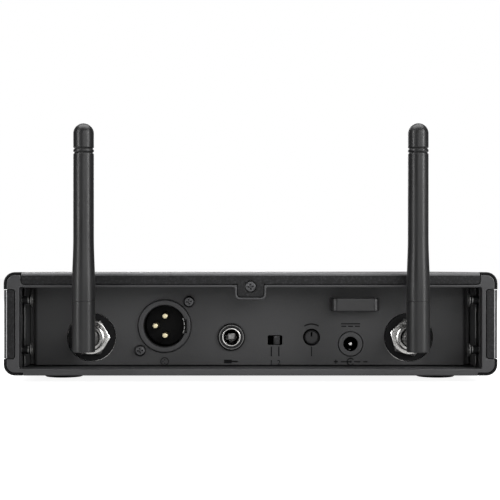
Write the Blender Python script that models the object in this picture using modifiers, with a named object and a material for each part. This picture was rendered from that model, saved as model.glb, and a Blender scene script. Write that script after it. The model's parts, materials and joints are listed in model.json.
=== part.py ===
"""Half-rack wireless receiver unit.

Grey moulded end frames hold painted sheet covers and four corner rails. A recessed rear panel
carries the sockets, and two swivel antennas stand behind it.
Metres, +Z up. The display side faces -Y and the socket side faces +Y. The origin is on the
surface that the feet stand on, under the centre of the bounding box.
"""

import math

import bmesh
import bpy
from mathutils import Matrix, Vector

MM = 0.001
GAP = 0.3 * MM

SIDES = {"left": -1, "right": 1}

# Body
BODY_W = 210 * MM
BODY_H = 44 * MM
BODY_D = 160 * MM
CORNER_R = 4.7 * MM
FOOT_H = 3 * MM
SHEET = 1.0 * MM
BEND_R = 1.5 * MM
RAIL_T = 0.9 * MM
FRAME_INSET = 1.2 * MM
COVER_CORNER_R = 1.3 * MM
SIDE_CORNER_R = 0.9 * MM
BASE = FOOT_H
TOP = BASE + BODY_H
HALF_W = BODY_W / 2

# Antennas and buttons set how far the unit reaches behind and in front of its body
ANTENNA_OFFSET = 9.5 * MM
ANTENNA_R = 4.85 * MM
BUTTON_PROUD = 0.9 * MM
REAR = (BODY_D + BUTTON_PROUD - ANTENNA_OFFSET - ANTENNA_R) / 2
FRONT = REAR - BODY_D

# Where the rails, covers and side panels meet
RAIL_TOP_X = 97.8 * MM
RAIL_BOTTOM_X = 97.0 * MM
SIDE_LOW = BASE + 7.0 * MM
SIDE_HIGH = BASE + 36.7 * MM

# Rear frame
OPENING_X = 98.3 * MM
OPENING_LOW = BASE + 2.8 * MM
OPENING_HIGH = BASE + 37.6 * MM
SIDE_BAR_X = 100.1 * MM
TOP_LINE = BASE + 38.6 * MM
RIM_D = 4 * MM
SLEEVE_D = 34 * MM
SLEEVE_LOW = BASE + SHEET + GAP
SLEEVE_STEP = 0.1 * MM
SLEEVE_HIGH = TOP_LINE - SLEEVE_STEP
TAB_X = 5.5 * MM
TAB_LOW = BASE + 33.5 * MM
TAB_LINE = 0.9 * MM
COVER_SCREW_Z = BASE + 37.8 * MM
SIDE_SCREW_DEPTH = 7 * MM
SIDE_SCREW_Z = (BASE + 10.6 * MM, BASE + 32 * MM)

# Screws
SCREW_HEAD_R = 2.5 * MM
SCREW_R = 1.3 * MM
SCREW_HOLE_R = 1.7 * MM
RECESS_D = 0.7 * MM
COVER_SCREW_L = 8 * MM
COVER_SCREW_HOLE_R = 2.8 * MM
XLR_SCREW_HEAD_H = 1.5 * MM
XLR_SCREW_L = 7 * MM
SIDE_SCREW_L = 5.2 * MM
FLANGED_HEAD_R = 2.9 * MM
FLANGED_HEAD_H = 4.1 * MM
FLANGE_T = 0.8 * MM
SHOULDER_R = 1.75 * MM
NUT_BOSS_R = 2.5 * MM

# Rear panel
PANEL_Y = REAR - 19 * MM
PANEL_T = 2 * MM
PANEL_X = 95.3 * MM
PANEL_BEND = 2 * MM
GUTTER_D = 5 * MM
GUTTER_T = 1.5 * MM
GUTTER_WALL_X = 98 * MM
GUTTER_WALL_T = 0.6 * MM
GUTTER_WALL_Y = REAR - 10.3 * MM
PANEL_BACK = PANEL_Y - PANEL_T - GAP
XLR = (37.6 * MM, BASE + 20.2 * MM)
JACK = (8.2 * MM, BASE + 15.4 * MM)
SWITCH = (-11.0 * MM, BASE + 14.0 * MM)
SQUELCH = (-27.1 * MM, BASE + 15.3 * MM)
DC = (-44.3 * MM, BASE + 12.3 * MM)
BRIDGE = (-45.8 * MM, BASE + 29.85 * MM)
ANTENNA_X = 69.8 * MM
ANTENNA_Z = BASE + 15.3 * MM

# Sockets
XLR_R = 11.55 * MM
XLR_BORE = 9.05 * MM
XLR_PROUD = 1.2 * MM
XLR_DEPTH = 18 * MM
XLR_INSERT_T = 4 * MM
XLR_PIN_CIRCLE = 4.3 * MM
XLR_SCREW = 10.74 * MM
XLR_FLANGE = 13.75 * MM
PIN_R = 1.2 * MM
JACK_SLEEVE_R = 4.1 * MM
JACK_BORE = 3.25 * MM
JACK_NUT_R = 6.1 * MM
JACK_NUT_T = 1.8 * MM
JACK_BODY = 7.5 * MM
JACK_DEPTH = 20 * MM
JACK_BUSH_LOW = -PANEL_T - 5 * MM
DC_FACE_R = 5.3 * MM
DC_BORE = 3.2 * MM
DC_PIN_R = 1.05 * MM
DC_DEPTH = 12 * MM
DC_BORE_D = 9.5 * MM
BRIDGE_W = 21.0 * MM
BRIDGE_H = 5.8 * MM
BRIDGE_RISE = 8.5 * MM
BRIDGE_T = 1.8 * MM
BRIDGE_BEND = 3 * MM

# Switch and squelch control
SLOT_W = 6.4 * MM
SLOT_H = 4.25 * MM
SWITCH_BODY = (12.4 * MM, 7.2 * MM)
SLIDER_W = 2.65 * MM
SLIDER_H = 3.65 * MM
SLIDER_X = SWITCH[0] - 0.8 * MM
CONTROL_BODY_D = 6 * MM
CONTROL_BORE_D = 4 * MM
CONTROL_REACH = PANEL_T + 3.5 * MM
POT_BODY = 9.5 * MM
SHAFT_R = 3.15 * MM
SHAFT_HOLE_R = 3.75 * MM

# Antennas
WASHER_R = 10.5 * MM
WASHER_SUNK = 0.4 * MM
NUT_FLATS = 14.8 * MM
NUT_T = 3 * MM
LEFT_NUT_TURN = math.radians(15)
BUSHING_R = 5.8 * MM
BUSHING_PROUD = 6 * MM
BUSHING_FLANGE_R = 12 * MM
BUSHING_FLANGE_T = 2 * MM
BUSHING_TAIL_R = 3 * MM
BUSHING_END = -10 * MM
BUSHING_FLOOR = -4 * MM
HUB_R = 3.75 * MM
ELBOW_LOW = BASE + 10.6 * MM
ELBOW_HIGH = BASE + 31.8 * MM
WHIP_HIGH = BASE + 106.1 * MM
WHIP_R = 4.28 * MM
TAPER_LOW = BASE + 37 * MM
TAPER_HIGH = BASE + 57 * MM
GROOVES = (BASE + 95.5 * MM, BASE + 93.8 * MM)
GROOVE_D = 0.5 * MM

# Front
FRONT_FRAME_D = 12 * MM
FASCIA_W = 200 * MM
FASCIA_H = 34 * MM
FASCIA_Y = FRONT + 0.5 * MM
FASCIA_T = 2.8 * MM
MID_Z = BASE + BODY_H / 2
LENS = (64 * MM, 22 * MM)
LENS_X = -10 * MM
POWER_X = -82 * MM
POWER_R = 5 * MM
BUTTON_R = 3.5 * MM
BUTTONS = {"button_down": 44 * MM, "button_up": 58 * MM, "button_set": 72 * MM}
CONTROL_BOARD_Y = FRONT + 11 * MM

# Inside
BOARD_Z = BASE + 4 * MM
BOARD_T = 1.6 * MM
BOARD_X = 85 * MM
BOARD_REAR = PANEL_Y - 7 * MM
BOARD_FRONT = FRONT + 30 * MM
SHIELD_X = 28 * MM
SHIELD_H = 9 * MM
SHIELD_REAR = PANEL_Y - 30 * MM
SHIELD_FRONT = PANEL_Y - 62 * MM
SHIELD_T = 0.6 * MM
PILLAR_R = 3 * MM
LEAD_R = 0.9 * MM
FOOT_R = 9.3 * MM
FOOT_X = 83.6 * MM
FOOT_INSET = 32 * MM

# Base colour, roughness and metallic value of each finish
FINISHES = {
    "grey_plastic": ((0.085, 0.085, 0.088), 0.45, 0.0),
    "dark_plastic": ((0.050, 0.050, 0.052), 0.55, 0.0),
    "black_plastic": ((0.010, 0.010, 0.011), 0.45, 0.0),
    "painted_steel": ((0.028, 0.028, 0.029), 0.60, 0.0),
    "gloss_black": ((0.008, 0.008, 0.009), 0.15, 0.0),
    "rubber": ((0.022, 0.022, 0.023), 0.60, 0.0),
    "nickel": ((0.75, 0.75, 0.73), 0.22, 1.0),
    "gold": ((0.93, 0.80, 0.50), 0.25, 1.0),
    "black_steel": ((0.050, 0.050, 0.052), 0.35, 1.0),
    "tin": ((0.65, 0.65, 0.65), 0.35, 1.0),
    "circuit_board": ((0.020, 0.120, 0.050), 0.50, 0.0),
    "lens": ((0.020, 0.025, 0.030), 0.08, 0.0),
}

AXIS_TURN = {
    "+Z": (0.0, 0.0, 0.0),
    "+Y": (-math.pi / 2, 0.0, 0.0),
    "-Y": (math.pi / 2, 0.0, 0.0),
    "+X": (0.0, math.pi / 2, 0.0),
    "-X": (0.0, -math.pi / 2, 0.0),
}

# Outline coordinates (u, v) and the normal w of each drawing plane, as world axes
PLANES = {
    "XZ": Matrix(((1, 0, 0, 0), (0, 0, -1, 0), (0, 1, 0, 0), (0, 0, 0, 1))),
    "YZ": Matrix(((0, 0, 1, 0), (1, 0, 0, 0), (0, 1, 0, 0), (0, 0, 0, 1))),
    "XY": Matrix.Identity(4),
}
NORMALS = {"XZ": Vector((0, 1, 0)), "YZ": Vector((1, 0, 0)), "XY": Vector((0, 0, 1))}


def clear_scene():
    for obj in list(bpy.data.objects):
        bpy.data.objects.remove(obj, do_unlink=True)


def new_collection(name):
    collection = bpy.data.collections.new(name)
    bpy.context.scene.collection.children.link(collection)
    return collection


clear_scene()
RECEIVER = new_collection("wireless_receiver")
CUTTERS = new_collection("cutters")


def paint(obj, finish):
    """Gives an object its own Principled material."""
    colour, roughness, metallic = FINISHES[finish]
    material = bpy.data.materials.new(obj.name)
    material.use_nodes = True
    shader = material.node_tree.nodes["Principled BSDF"]
    shader.inputs["Base Color"].default_value = (*colour, 1.0)
    shader.inputs["Roughness"].default_value = roughness
    shader.inputs["Metallic"].default_value = metallic
    obj.data.materials.append(material)


def place(name, data, finish, location=(0, 0, 0), axis="+Z"):
    """Adds an object to the receiver, or to the cutters where it has no finish."""
    obj = bpy.data.objects.new(name, data)
    obj.location = location
    obj.rotation_euler = AXIS_TURN[axis]
    if finish is None:
        CUTTERS.objects.link(obj)
        obj.hide_render = True
        obj.display_type = "WIRE"
    else:
        RECEIVER.objects.link(obj)
        paint(obj, finish)
    return obj


def boolean(target, tool, operation):
    modifier = target.modifiers.new(tool.name, "BOOLEAN")
    modifier.object = tool
    modifier.operation = operation
    modifier.solver = "EXACT"


def cut(target, *tools):
    for tool in tools:
        boolean(target, tool, "DIFFERENCE")


def join(target, *tools):
    for tool in tools:
        boolean(target, tool, "UNION")


def rounded(corners, steps=5):
    """Outline points from corners (u, v, radius); a radius of 0 leaves the corner sharp."""
    points = []
    for i, (u, v, radius) in enumerate(corners):
        here = Vector((u, v))
        if radius == 0:
            points.append(tuple(here))
            continue
        before = (Vector(corners[i - 1][:2]) - here).normalized()
        after = (Vector(corners[(i + 1) % len(corners)][:2]) - here).normalized()
        half = before.angle(after) / 2
        centre = here + (before + after).normalized() * (radius / math.sin(half))
        start = here + before * (radius / math.tan(half)) - centre
        turn = start.angle_signed(here + after * (radius / math.tan(half)) - centre)
        for step in range(steps + 1):
            points.append(tuple(centre + Matrix.Rotation(-turn * step / steps, 2) @ start))
    return points


def rectangle(u0, v0, u1, v1, radius=0.0, steps=5):
    corners = [(u0, v0, radius), (u1, v0, radius), (u1, v1, radius), (u0, v1, radius)]
    return rounded(corners, steps)


def circle(u, v, radius, steps=24):
    turns = [2 * math.pi * i / steps for i in range(steps)]
    return [(u + radius * math.cos(t), v + radius * math.sin(t)) for t in turns]


def plate(name, outlines, plane, low, high, finish, location=(0, 0, 0)):
    """A solid between two levels along the plane's normal, from an outline and its holes."""
    curve = bpy.data.curves.new(name, "CURVE")
    curve.dimensions = "2D"
    curve.fill_mode = "BOTH"
    curve.extrude = (high - low) / 2
    for outline in outlines:
        spline = curve.splines.new("POLY")
        spline.points.add(len(outline) - 1)
        for point, (u, v) in zip(spline.points, outline):
            point.co = (u, v, 0, 1)
        spline.use_cyclic_u = True
    guide = bpy.data.objects.new(name + "_outline", curve)
    bpy.context.scene.collection.objects.link(guide)
    graph = bpy.context.evaluated_depsgraph_get()
    mesh = bpy.data.meshes.new_from_object(guide.evaluated_get(graph))
    bpy.data.objects.remove(guide)
    bm = bmesh.new()
    bm.from_mesh(mesh)
    bmesh.ops.remove_doubles(bm, verts=bm.verts, dist=1e-7)
    bmesh.ops.dissolve_degenerate(bm, dist=1e-6, edges=bm.edges)
    bmesh.ops.dissolve_limit(bm, angle_limit=0.001, verts=bm.verts, edges=bm.edges)
    bmesh.ops.transform(bm, matrix=PLANES[plane], verts=bm.verts)
    bmesh.ops.translate(bm, vec=NORMALS[plane] * (low + high) / 2, verts=bm.verts)
    bmesh.ops.recalc_face_normals(bm, faces=bm.faces)
    bm.to_mesh(mesh)
    bm.free()
    return place(name, mesh, finish, location)


def block(name, low, high, finish, location=(0, 0, 0)):
    """A box between two corners."""
    low, high = Vector(low), Vector(high)
    bm = bmesh.new()
    bmesh.ops.create_cube(bm, size=1.0)
    bmesh.ops.scale(bm, vec=high - low, verts=bm.verts)
    bmesh.ops.translate(bm, vec=(low + high) / 2, verts=bm.verts)
    mesh = bpy.data.meshes.new(name)
    bm.to_mesh(mesh)
    bm.free()
    return place(name, mesh, finish, location)


def turned(name, profile, finish, location, axis, steps=24, ring=False):
    """A lathe part from (radius, height) points, read down its outer side."""
    count = len(profile)
    edges = [(i, i + 1) for i in range(count - 1)]
    if ring:
        edges.append((count - 1, 0))
    mesh = bpy.data.meshes.new(name)
    mesh.from_pydata([(radius, 0, height) for radius, height in profile], edges, [])
    obj = place(name, mesh, finish, location, axis)
    screw = obj.modifiers.new("turn", "SCREW")
    screw.steps = steps
    screw.render_steps = steps
    screw.use_merge_vertices = True
    screw.merge_threshold = 0.000001
    screw.use_smooth_shade = True
    return obj


def tube_profile(outer, inner, low, high):
    return [(outer, high), (outer, low), (inner, low), (inner, high)]


def rod_profile(radius, low, high):
    return [(0, high), (radius, high), (radius, low), (0, low)]


def tapered_rod_profile(radius, low, high, tip):
    """A rod whose top edge is chamfered, such as a contact pin."""
    return [(0, high), (radius - tip, high), (radius, high - tip), (radius, low), (0, low)]


# Shell -----------------------------------------------------------------------------------------


def make_rails():
    """Four thin black corner rails run from frame to frame."""
    for level, low_x, edge, side_z in (
        ("top", RAIL_TOP_X, TOP, SIDE_HIGH),
        ("bottom", RAIL_BOTTOM_X, BASE, SIDE_LOW),
    ):
        up = 1 if level == "top" else -1
        corners = [
            (low_x, edge, 0),
            (HALF_W, edge, CORNER_R),
            (HALF_W, side_z, 0),
            (HALF_W - RAIL_T, side_z, 0),
            (HALF_W - RAIL_T, edge - up * RAIL_T, CORNER_R - RAIL_T),
            (low_x, edge - up * RAIL_T, 0),
        ]
        for side, sign in SIDES.items():
            outline = rounded([(sign * u, v, r) for u, v, r in corners], 6)
            name = f"corner_rail_{level}_{side}"
            plate(name, [outline], "XZ", FRONT + FRONT_FRAME_D + GAP, REAR - GAP, "black_plastic")


def tab_waste(sign, half, line, low):
    """The area beside and below the cover's centre tab, whose lower corner is rounded."""
    far = sign * (HALF_W + GAP)
    corners = [
        (far, line, 0),
        (sign * half, line, 0),
        (sign * half, low, 1.3 * MM),
        (sign * (half - 2 * MM), low, 0),
        (sign * (half - 2 * MM), low - 2 * MM, 0),
        (far, low - 2 * MM, 0),
    ]
    return rounded(corners)


def corner_waste(u, v, right, up, radius):
    """The area outside the fillet of a corner that points right (1 or -1) and up (1 or -1)."""
    centre = Vector((u - right * radius, v - up * radius))
    arc = [centre + radius * Vector((right * math.cos(t), up * math.sin(t))) for t in quarter_turns(4)]
    far_u, far_v = u + right * GAP, v + up * GAP
    tips = [(u - right * radius, far_v), (far_u, far_v)]
    return [(far_u, v - up * radius)] + [tuple(point) for point in arc] + tips


def make_top_cover():
    """Painted sheet, bent down over the rear frame, with a centre tab for one screw."""
    start = FRONT + FRONT_FRAME_D + GAP
    profile = rounded([
        (start, TOP, 0),
        (REAR, TOP, BEND_R),
        (REAR, TAB_LOW, 0),
        (REAR - SHEET, TAB_LOW, 0),
        (REAR - SHEET, TOP - SHEET, BEND_R - SHEET),
        (start, TOP - SHEET, 0),
    ])
    half = RAIL_TOP_X - GAP
    cover = plate("top_cover", [profile], "YZ", -half, half, "painted_steel")
    line = TOP_LINE + GAP
    for sign in (-1, 1):
        waste = [tab_waste(sign, TAB_X, line, TAB_LOW)]
        cut(cover, plate(f"flange_waste_{sign}", waste, "XZ", REAR - 3 * MM, REAR + 2 * MM, None))
        waste = [corner_waste(sign * half, line, sign, -1, COVER_CORNER_R)]
        cut(cover, plate(f"corner_waste_{sign}", waste, "XZ", REAR - 3 * MM, REAR + 2 * MM, None))
    hole = [circle(0, COVER_SCREW_Z, COVER_SCREW_HOLE_R, 16)]
    cut(cover, plate("cover_screw_hole", hole, "XZ", REAR - 3 * MM, REAR + 2 * MM, None))


def make_bottom_plate():
    """Flat steel base with four pillars for the main board."""
    low_x = RAIL_BOTTOM_X - GAP
    start = FRONT + FRONT_FRAME_D + GAP
    end = REAR - RIM_D - GAP
    plate_low = (-low_x, start, BASE)
    plate_high = (low_x, end, BASE + SHEET)
    base = block("bottom_plate", plate_low, plate_high, "painted_steel")
    for i, (x, y) in enumerate(board_corners()):
        profile = rod_profile(PILLAR_R, BASE + SHEET / 2, BOARD_Z - GAP)
        join(base, turned(f"pillar_{i}", profile, None, (x, y, 0), "+Z", 12))


def board_corners():
    inset = 6 * MM
    xs = (-BOARD_X + inset, BOARD_X - inset)
    ys = (BOARD_FRONT + inset, BOARD_REAR - 3 * inset)
    return [(x, y) for x in xs for y in ys]


def make_side_panels():
    """Painted sheet sides whose rear edges turn in over the rear frame."""
    start = FRONT + FRONT_FRAME_D + GAP
    low, high = SIDE_LOW + GAP, SIDE_HIGH - GAP
    inner_x = SIDE_BAR_X + GAP
    for side, sign in SIDES.items():
        corners = [
            (HALF_W, start, 0),
            (HALF_W, REAR, BEND_R),
            (inner_x, REAR, 0),
            (inner_x, REAR - SHEET, 0),
            (HALF_W - SHEET, REAR - SHEET, BEND_R - SHEET),
            (HALF_W - SHEET, start, 0),
        ]
        outline = rounded([(sign * u, v, r) for u, v, r in corners])
        panel = plate(f"side_panel_{side}", [outline], "XY", low, high, "painted_steel")
        for v, up in ((low, -1), (high, 1)):
            waste = [corner_waste(sign * inner_x, v, -sign, up, SIDE_CORNER_R)]
            name = f"corner_waste_{side}_{up}"
            cut(panel, plate(name, waste, "XZ", REAR - 2 * SHEET, REAR + MM, None))
        for i, z in enumerate(SIDE_SCREW_Z):
            where = (sign * inner_x, REAR - SIDE_SCREW_DEPTH, z)
            profile = tube_profile(NUT_BOSS_R, SCREW_HOLE_R, 0, HALF_W - SHEET / 2 - inner_x)
            axis = "+X" if sign > 0 else "-X"
            join(panel, turned(f"nut_{side}_{i}", profile, None, where, axis, 12, ring=True))


def opening_outline():
    """The rear opening, which steps down round the cover's centre tab."""
    step = TAB_X + GAP + TAB_LINE
    low = TAB_LOW - GAP - TAB_LINE
    right = [
        (OPENING_X, OPENING_LOW, 0.8 * MM),
        (OPENING_X, OPENING_HIGH, 0.8 * MM),
        (step, OPENING_HIGH, 1.0 * MM),
        (step, low, 2.0 * MM),
    ]
    left = [(-u, v, r) for u, v, r in reversed(right)]
    return rounded(right + left)


def frame_outline():
    """The rear frame's outside: inside the rails at the corners, down to the base between them."""
    x = HALF_W - FRAME_INSET
    radius = CORNER_R - FRAME_INSET
    low_x = RAIL_BOTTOM_X - GAP
    right = [
        (low_x, BASE, 0),
        (low_x, BASE + FRAME_INSET, 0),
        (x, BASE + FRAME_INSET, radius),
        (x, TOP - FRAME_INSET, radius),
    ]
    left = [(-u, v, r) for u, v, r in reversed(right)]
    return rounded(right + left, 6)


def make_rear_frame():
    """Grey moulded frame: a rim, a sleeve that lines the recess, and a boss for the cover screw."""
    pocket_y = REAR - SHEET - GAP
    rim = plate(
        "rear_frame", [frame_outline(), opening_outline()], "XZ", REAR - RIM_D, REAR, "grey_plastic"
    )
    side = SIDE_BAR_X - SLEEVE_STEP
    outer = rectangle(-side, SLEEVE_LOW, side, SLEEVE_HIGH)
    side = OPENING_X + SLEEVE_STEP
    inner = rectangle(-side, OPENING_LOW - SLEEVE_STEP, side, OPENING_HIGH + SLEEVE_STEP)
    join(rim, plate("sleeve", [outer, inner], "XZ", REAR - SLEEVE_D, REAR - RIM_D + MM, None))
    boss_low = (-4 * MM, REAR - 12 * MM, BASE + 34.5 * MM)
    boss_high = (4 * MM, REAR - RIM_D + MM, BASE + 41 * MM)
    join(rim, block("screw_boss", boss_low, boss_high, None))
    pocket = [rectangle(-RAIL_TOP_X, TOP_LINE, RAIL_TOP_X, TOP + 3 * MM, COVER_CORNER_R + GAP)]
    cut(rim, plate("flange_pocket", pocket, "XZ", pocket_y, REAR + MM, None))
    half = TAB_X + GAP
    tab = [rectangle(-half, TAB_LOW - GAP, half, TOP, 1.4 * MM)]
    cut(rim, plate("tab_pocket", tab, "XZ", pocket_y - SLEEVE_STEP, REAR + MM, None))
    hole = [circle(0, COVER_SCREW_Z, 1.6 * MM, 12)]
    cut(rim, plate("boss_hole", hole, "XZ", REAR - 11 * MM, REAR + MM, None))
    for sign in (-1, 1):
        near, far = sorted((sign * SIDE_BAR_X, sign * (HALF_W + 3 * MM)))
        pocket = [rectangle(near, SIDE_LOW, far, SIDE_HIGH, SIDE_CORNER_R + GAP)]
        cut(rim, plate(f"side_pocket_{sign}", pocket, "XZ", pocket_y, REAR + MM, None))
        for i, z in enumerate(SIDE_SCREW_Z):
            near, far = sorted((sign * 97 * MM, sign * 102 * MM))
            hole = [circle(REAR - SIDE_SCREW_DEPTH, z, SCREW_HOLE_R, 12)]
            cut(rim, plate(f"side_hole_{sign}_{i}", hole, "YZ", near, far, None))


def make_feet():
    """Round rubber feet with a bevelled lower edge."""
    profile = [
        (0, FOOT_H - GAP),
        (FOOT_R, FOOT_H - GAP),
        (FOOT_R, 1.4 * MM),
        (FOOT_R - 0.5 * MM, 0.5 * MM),
        (FOOT_R - 1.3 * MM, 0),
        (0, 0),
    ]
    for end, y in (("front", FRONT + FOOT_INSET), ("rear", REAR - FOOT_INSET)):
        for side, sign in SIDES.items():
            turned(f"foot_{end}_{side}", profile, "rubber", (sign * FOOT_X, y, 0), "+Z", 24)


def cross_outline(u, v, half, arm):
    """A cross-head driver recess."""
    quarter = [(half, -arm), (half, arm), (arm, arm)]
    points = []
    for turn in range(4):
        spin = Matrix.Rotation(turn * math.pi / 2, 2)
        points += [tuple(spin @ Vector(p) + Vector((u, v))) for p in quarter]
    return points


def pan_head(radius, height):
    return [
        (0, height),
        (radius * 0.55, height),
        (radius * 0.9, height * 0.7),
        (radius, height * 0.3),
        (radius, 0),
    ]


def flanged_head():
    """A shoulder that ends in a wider, flat flange."""
    edge = 0.3 * MM
    under = FLANGED_HEAD_H - FLANGE_T
    return [
        (0, FLANGED_HEAD_H),
        (FLANGED_HEAD_R - edge, FLANGED_HEAD_H),
        (FLANGED_HEAD_R, FLANGED_HEAD_H - edge),
        (FLANGED_HEAD_R, under),
        (SHOULDER_R, under),
        (SHOULDER_R, 0),
    ]


def make_screw(name, location, axis, head, length):
    """A cross-head screw. Its location is the centre of the underside of its head."""
    head_h = head[0][1]
    head_r = max(radius for radius, height in head)
    profile = head + [(SCREW_R, 0), (SCREW_R, -length), (0, -length)]
    screw = turned(name, profile, "black_steel", location, axis, 16)
    plane, sign = {"+Y": ("XZ", 1), "+X": ("YZ", 1), "-X": ("YZ", -1)}[axis]
    outline = [cross_outline(0, 0, head_r * 0.5, head_r * 0.13)]
    low, high = sorted((sign * (head_h - RECESS_D), sign * (head_h + MM)))
    cut(screw, plate(name + "_recess", outline, plane, low, high, None, location))


def make_screws():
    """Screws for the cover's tab, the ends of the recess and the audio socket."""
    where = (0, REAR - SHEET, COVER_SCREW_Z)
    make_screw("cover_screw", where, "+Y", pan_head(SCREW_HEAD_R, SHEET), COVER_SCREW_L)
    for side, sign in SIDES.items():
        axis = "-X" if sign > 0 else "+X"
        for level, z in zip(("lower", "upper"), SIDE_SCREW_Z):
            where = (sign * (OPENING_X - GAP), REAR - SIDE_SCREW_DEPTH, z)
            name = f"side_screw_{level}_{side}"
            make_screw(name, where, axis, flanged_head(), SIDE_SCREW_L)
    x, z = XLR
    for name, sign in (("xlr_screw_upper", 1), ("xlr_screw_lower", -1)):
        where = (x - sign * XLR_SCREW, PANEL_Y + GAP, z + sign * XLR_SCREW)
        make_screw(name, where, "+Y", pan_head(SCREW_HEAD_R, XLR_SCREW_HEAD_H), XLR_SCREW_L)


# Rear panel and its sockets --------------------------------------------------------------------


def make_rear_panel():
    """Moulded socket panel at the bottom of the recess. A gutter and a thin wall end it."""
    low, high = OPENING_LOW + GAP, OPENING_HIGH - GAP
    wall_x = GUTTER_WALL_X - GUTTER_WALL_T
    floor_y = PANEL_Y - GUTTER_D
    right = [
        (PANEL_X, PANEL_Y, PANEL_BEND),
        (PANEL_X, floor_y, 0.5 * MM),
        (wall_x, floor_y, 0.5 * MM),
        (wall_x, GUTTER_WALL_Y, 0),
        (GUTTER_WALL_X, GUTTER_WALL_Y, 0),
        (GUTTER_WALL_X, floor_y - GUTTER_T, MM),
        (PANEL_X - PANEL_T, floor_y - GUTTER_T, 0.5 * MM),
        (PANEL_X - PANEL_T, PANEL_Y - PANEL_T, MM),
    ]
    left = [(-u, v, r) for u, v, r in reversed(right)]
    panel = plate("rear_panel", [rounded(right + left)], "XY", low, high, "dark_plastic")
    holes = [
        circle(ANTENNA_X, ANTENNA_Z, WASHER_R + GAP, 32),
        circle(-ANTENNA_X, ANTENNA_Z, WASHER_R + GAP, 32),
        circle(*XLR, XLR_R + GAP, 32),
        circle(*JACK, JACK_SLEEVE_R + GAP),
        circle(*SQUELCH, SHAFT_HOLE_R),
        circle(*DC, DC_FACE_R + GAP),
        circle(XLR[0] - XLR_SCREW, XLR[1] + XLR_SCREW, SCREW_HOLE_R, 12),
        circle(XLR[0] + XLR_SCREW, XLR[1] - XLR_SCREW, SCREW_HOLE_R, 12),
        centred_slot(SWITCH, SLOT_W, SLOT_H, 0.6 * MM),
    ]
    cut(panel, plate("panel_holes", holes, "XZ", PANEL_Y - 2 * PANEL_T, PANEL_Y + MM, None))


def centred_slot(centre, width, height, radius):
    u, v = centre
    return rectangle(u - width / 2, v - height / 2, u + width / 2, v + height / 2, radius, 3)


def make_cable_bridge():
    """A strap over the panel that a power lead can be looped through."""
    x, z = BRIDGE
    foot = PANEL_Y + GAP
    top = PANEL_Y + BRIDGE_RISE
    half = BRIDGE_W / 2
    inner = half - BRIDGE_T
    right = [(half, foot, 0), (half, top, BRIDGE_BEND)]
    inside = [(inner, top - BRIDGE_T, BRIDGE_BEND - BRIDGE_T), (inner, foot, 0)]
    left_outer = [(-u, v, r) for u, v, r in reversed(right)]
    left_inner = [(-u, v, r) for u, v, r in reversed(inside)]
    outline = rounded([(u + x, v, r) for u, v, r in right + left_outer + left_inner + inside])
    plate("cable_bridge", [outline], "XY", z - BRIDGE_H / 2, z + BRIDGE_H / 2, "dark_plastic")


def make_xlr():
    """Three-pin male audio socket: shell with a mounting flange, insert and pins."""
    x, z = XLR
    centre = (x, PANEL_Y, z)
    profile = tube_profile(XLR_R, XLR_BORE, -XLR_DEPTH, XLR_PROUD)
    shell = turned("xlr_shell", profile, "grey_plastic", centre, "+Y", 32, ring=True)
    flange = [
        centred_slot(XLR, 2 * XLR_FLANGE, 2 * XLR_FLANGE, 2 * MM),
        circle(x, z, (XLR_R + XLR_BORE) / 2, 32),
        circle(x - XLR_SCREW, z + XLR_SCREW, SCREW_HOLE_R, 12),
        circle(x + XLR_SCREW, z - XLR_SCREW, SCREW_HOLE_R, 12),
    ]
    join(shell, plate("xlr_flange", flange, "XZ", PANEL_BACK - 2 * MM, PANEL_BACK, None))
    notch_low = (x - XLR_BORE - 0.9 * MM, PANEL_Y - 8 * MM, z - 3 * MM)
    notch_high = (x - XLR_BORE + 1.5 * MM, PANEL_Y + 2 * XLR_PROUD, z + 3 * MM)
    cut(shell, block("xlr_notch", notch_low, notch_high, None))
    pins = xlr_pin_places()
    face = PANEL_Y - XLR_DEPTH + XLR_INSERT_T
    insert = [circle(x, z, XLR_BORE - GAP, 32)] + [circle(u, v, PIN_R + GAP, 12) for u, v in pins]
    plate("xlr_insert", insert, "XZ", face - XLR_INSERT_T, face, "black_plastic")
    length = 12 * MM
    tail = XLR_INSERT_T + 3 * MM
    for i, (u, v) in enumerate(pins):
        profile = tapered_rod_profile(PIN_R, -tail, length, 0.6 * MM)
        turned(f"xlr_pin_{i + 1}", profile, "gold", (u, face, v), "+Y", 12)


def xlr_pin_places():
    x, z = XLR
    return [(x, z + XLR_PIN_CIRCLE), (x + XLR_PIN_CIRCLE, z), (x, z - XLR_PIN_CIRCLE)]


def make_jack():
    """6.3 mm jack: body, nickel bush, ring nut and one spring contact."""
    x, z = JACK
    centre = (x, PANEL_Y, z)
    low = (x - JACK_BODY, PANEL_BACK - JACK_DEPTH, z - JACK_BODY)
    high = (x + JACK_BODY, PANEL_BACK, z + JACK_BODY)
    body = block("jack_body", low, high, "black_plastic")
    bore = [circle(x, z, JACK_BORE + GAP, 20)]
    cut(body, plate("jack_bore", bore, "XZ", low[1] - MM, high[1] + MM, None))
    counterbore = [circle(x, z, JACK_SLEEVE_R + GAP, 20)]
    end = PANEL_Y + JACK_BUSH_LOW - GAP
    cut(body, plate("jack_counterbore", counterbore, "XZ", end, high[1] + MM, None))
    profile = tube_profile(JACK_SLEEVE_R, JACK_BORE, JACK_BUSH_LOW, JACK_NUT_T + 0.5 * MM)
    turned("jack_bush", profile, "nickel", centre, "+Y", 24, ring=True)
    profile = tube_profile(JACK_NUT_R, JACK_SLEEVE_R + GAP, GAP, JACK_NUT_T + GAP)
    turned("jack_ring_nut", profile, "black_steel", centre, "+Y", 24, ring=True)
    leaf_low = (x - 1.2 * MM, low[1] - 3 * MM, z + 2.6 * MM)
    leaf_high = (x + 1.2 * MM, PANEL_Y - 9 * MM, z + 3.0 * MM)
    block("jack_contact", leaf_low, leaf_high, "tin")


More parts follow.
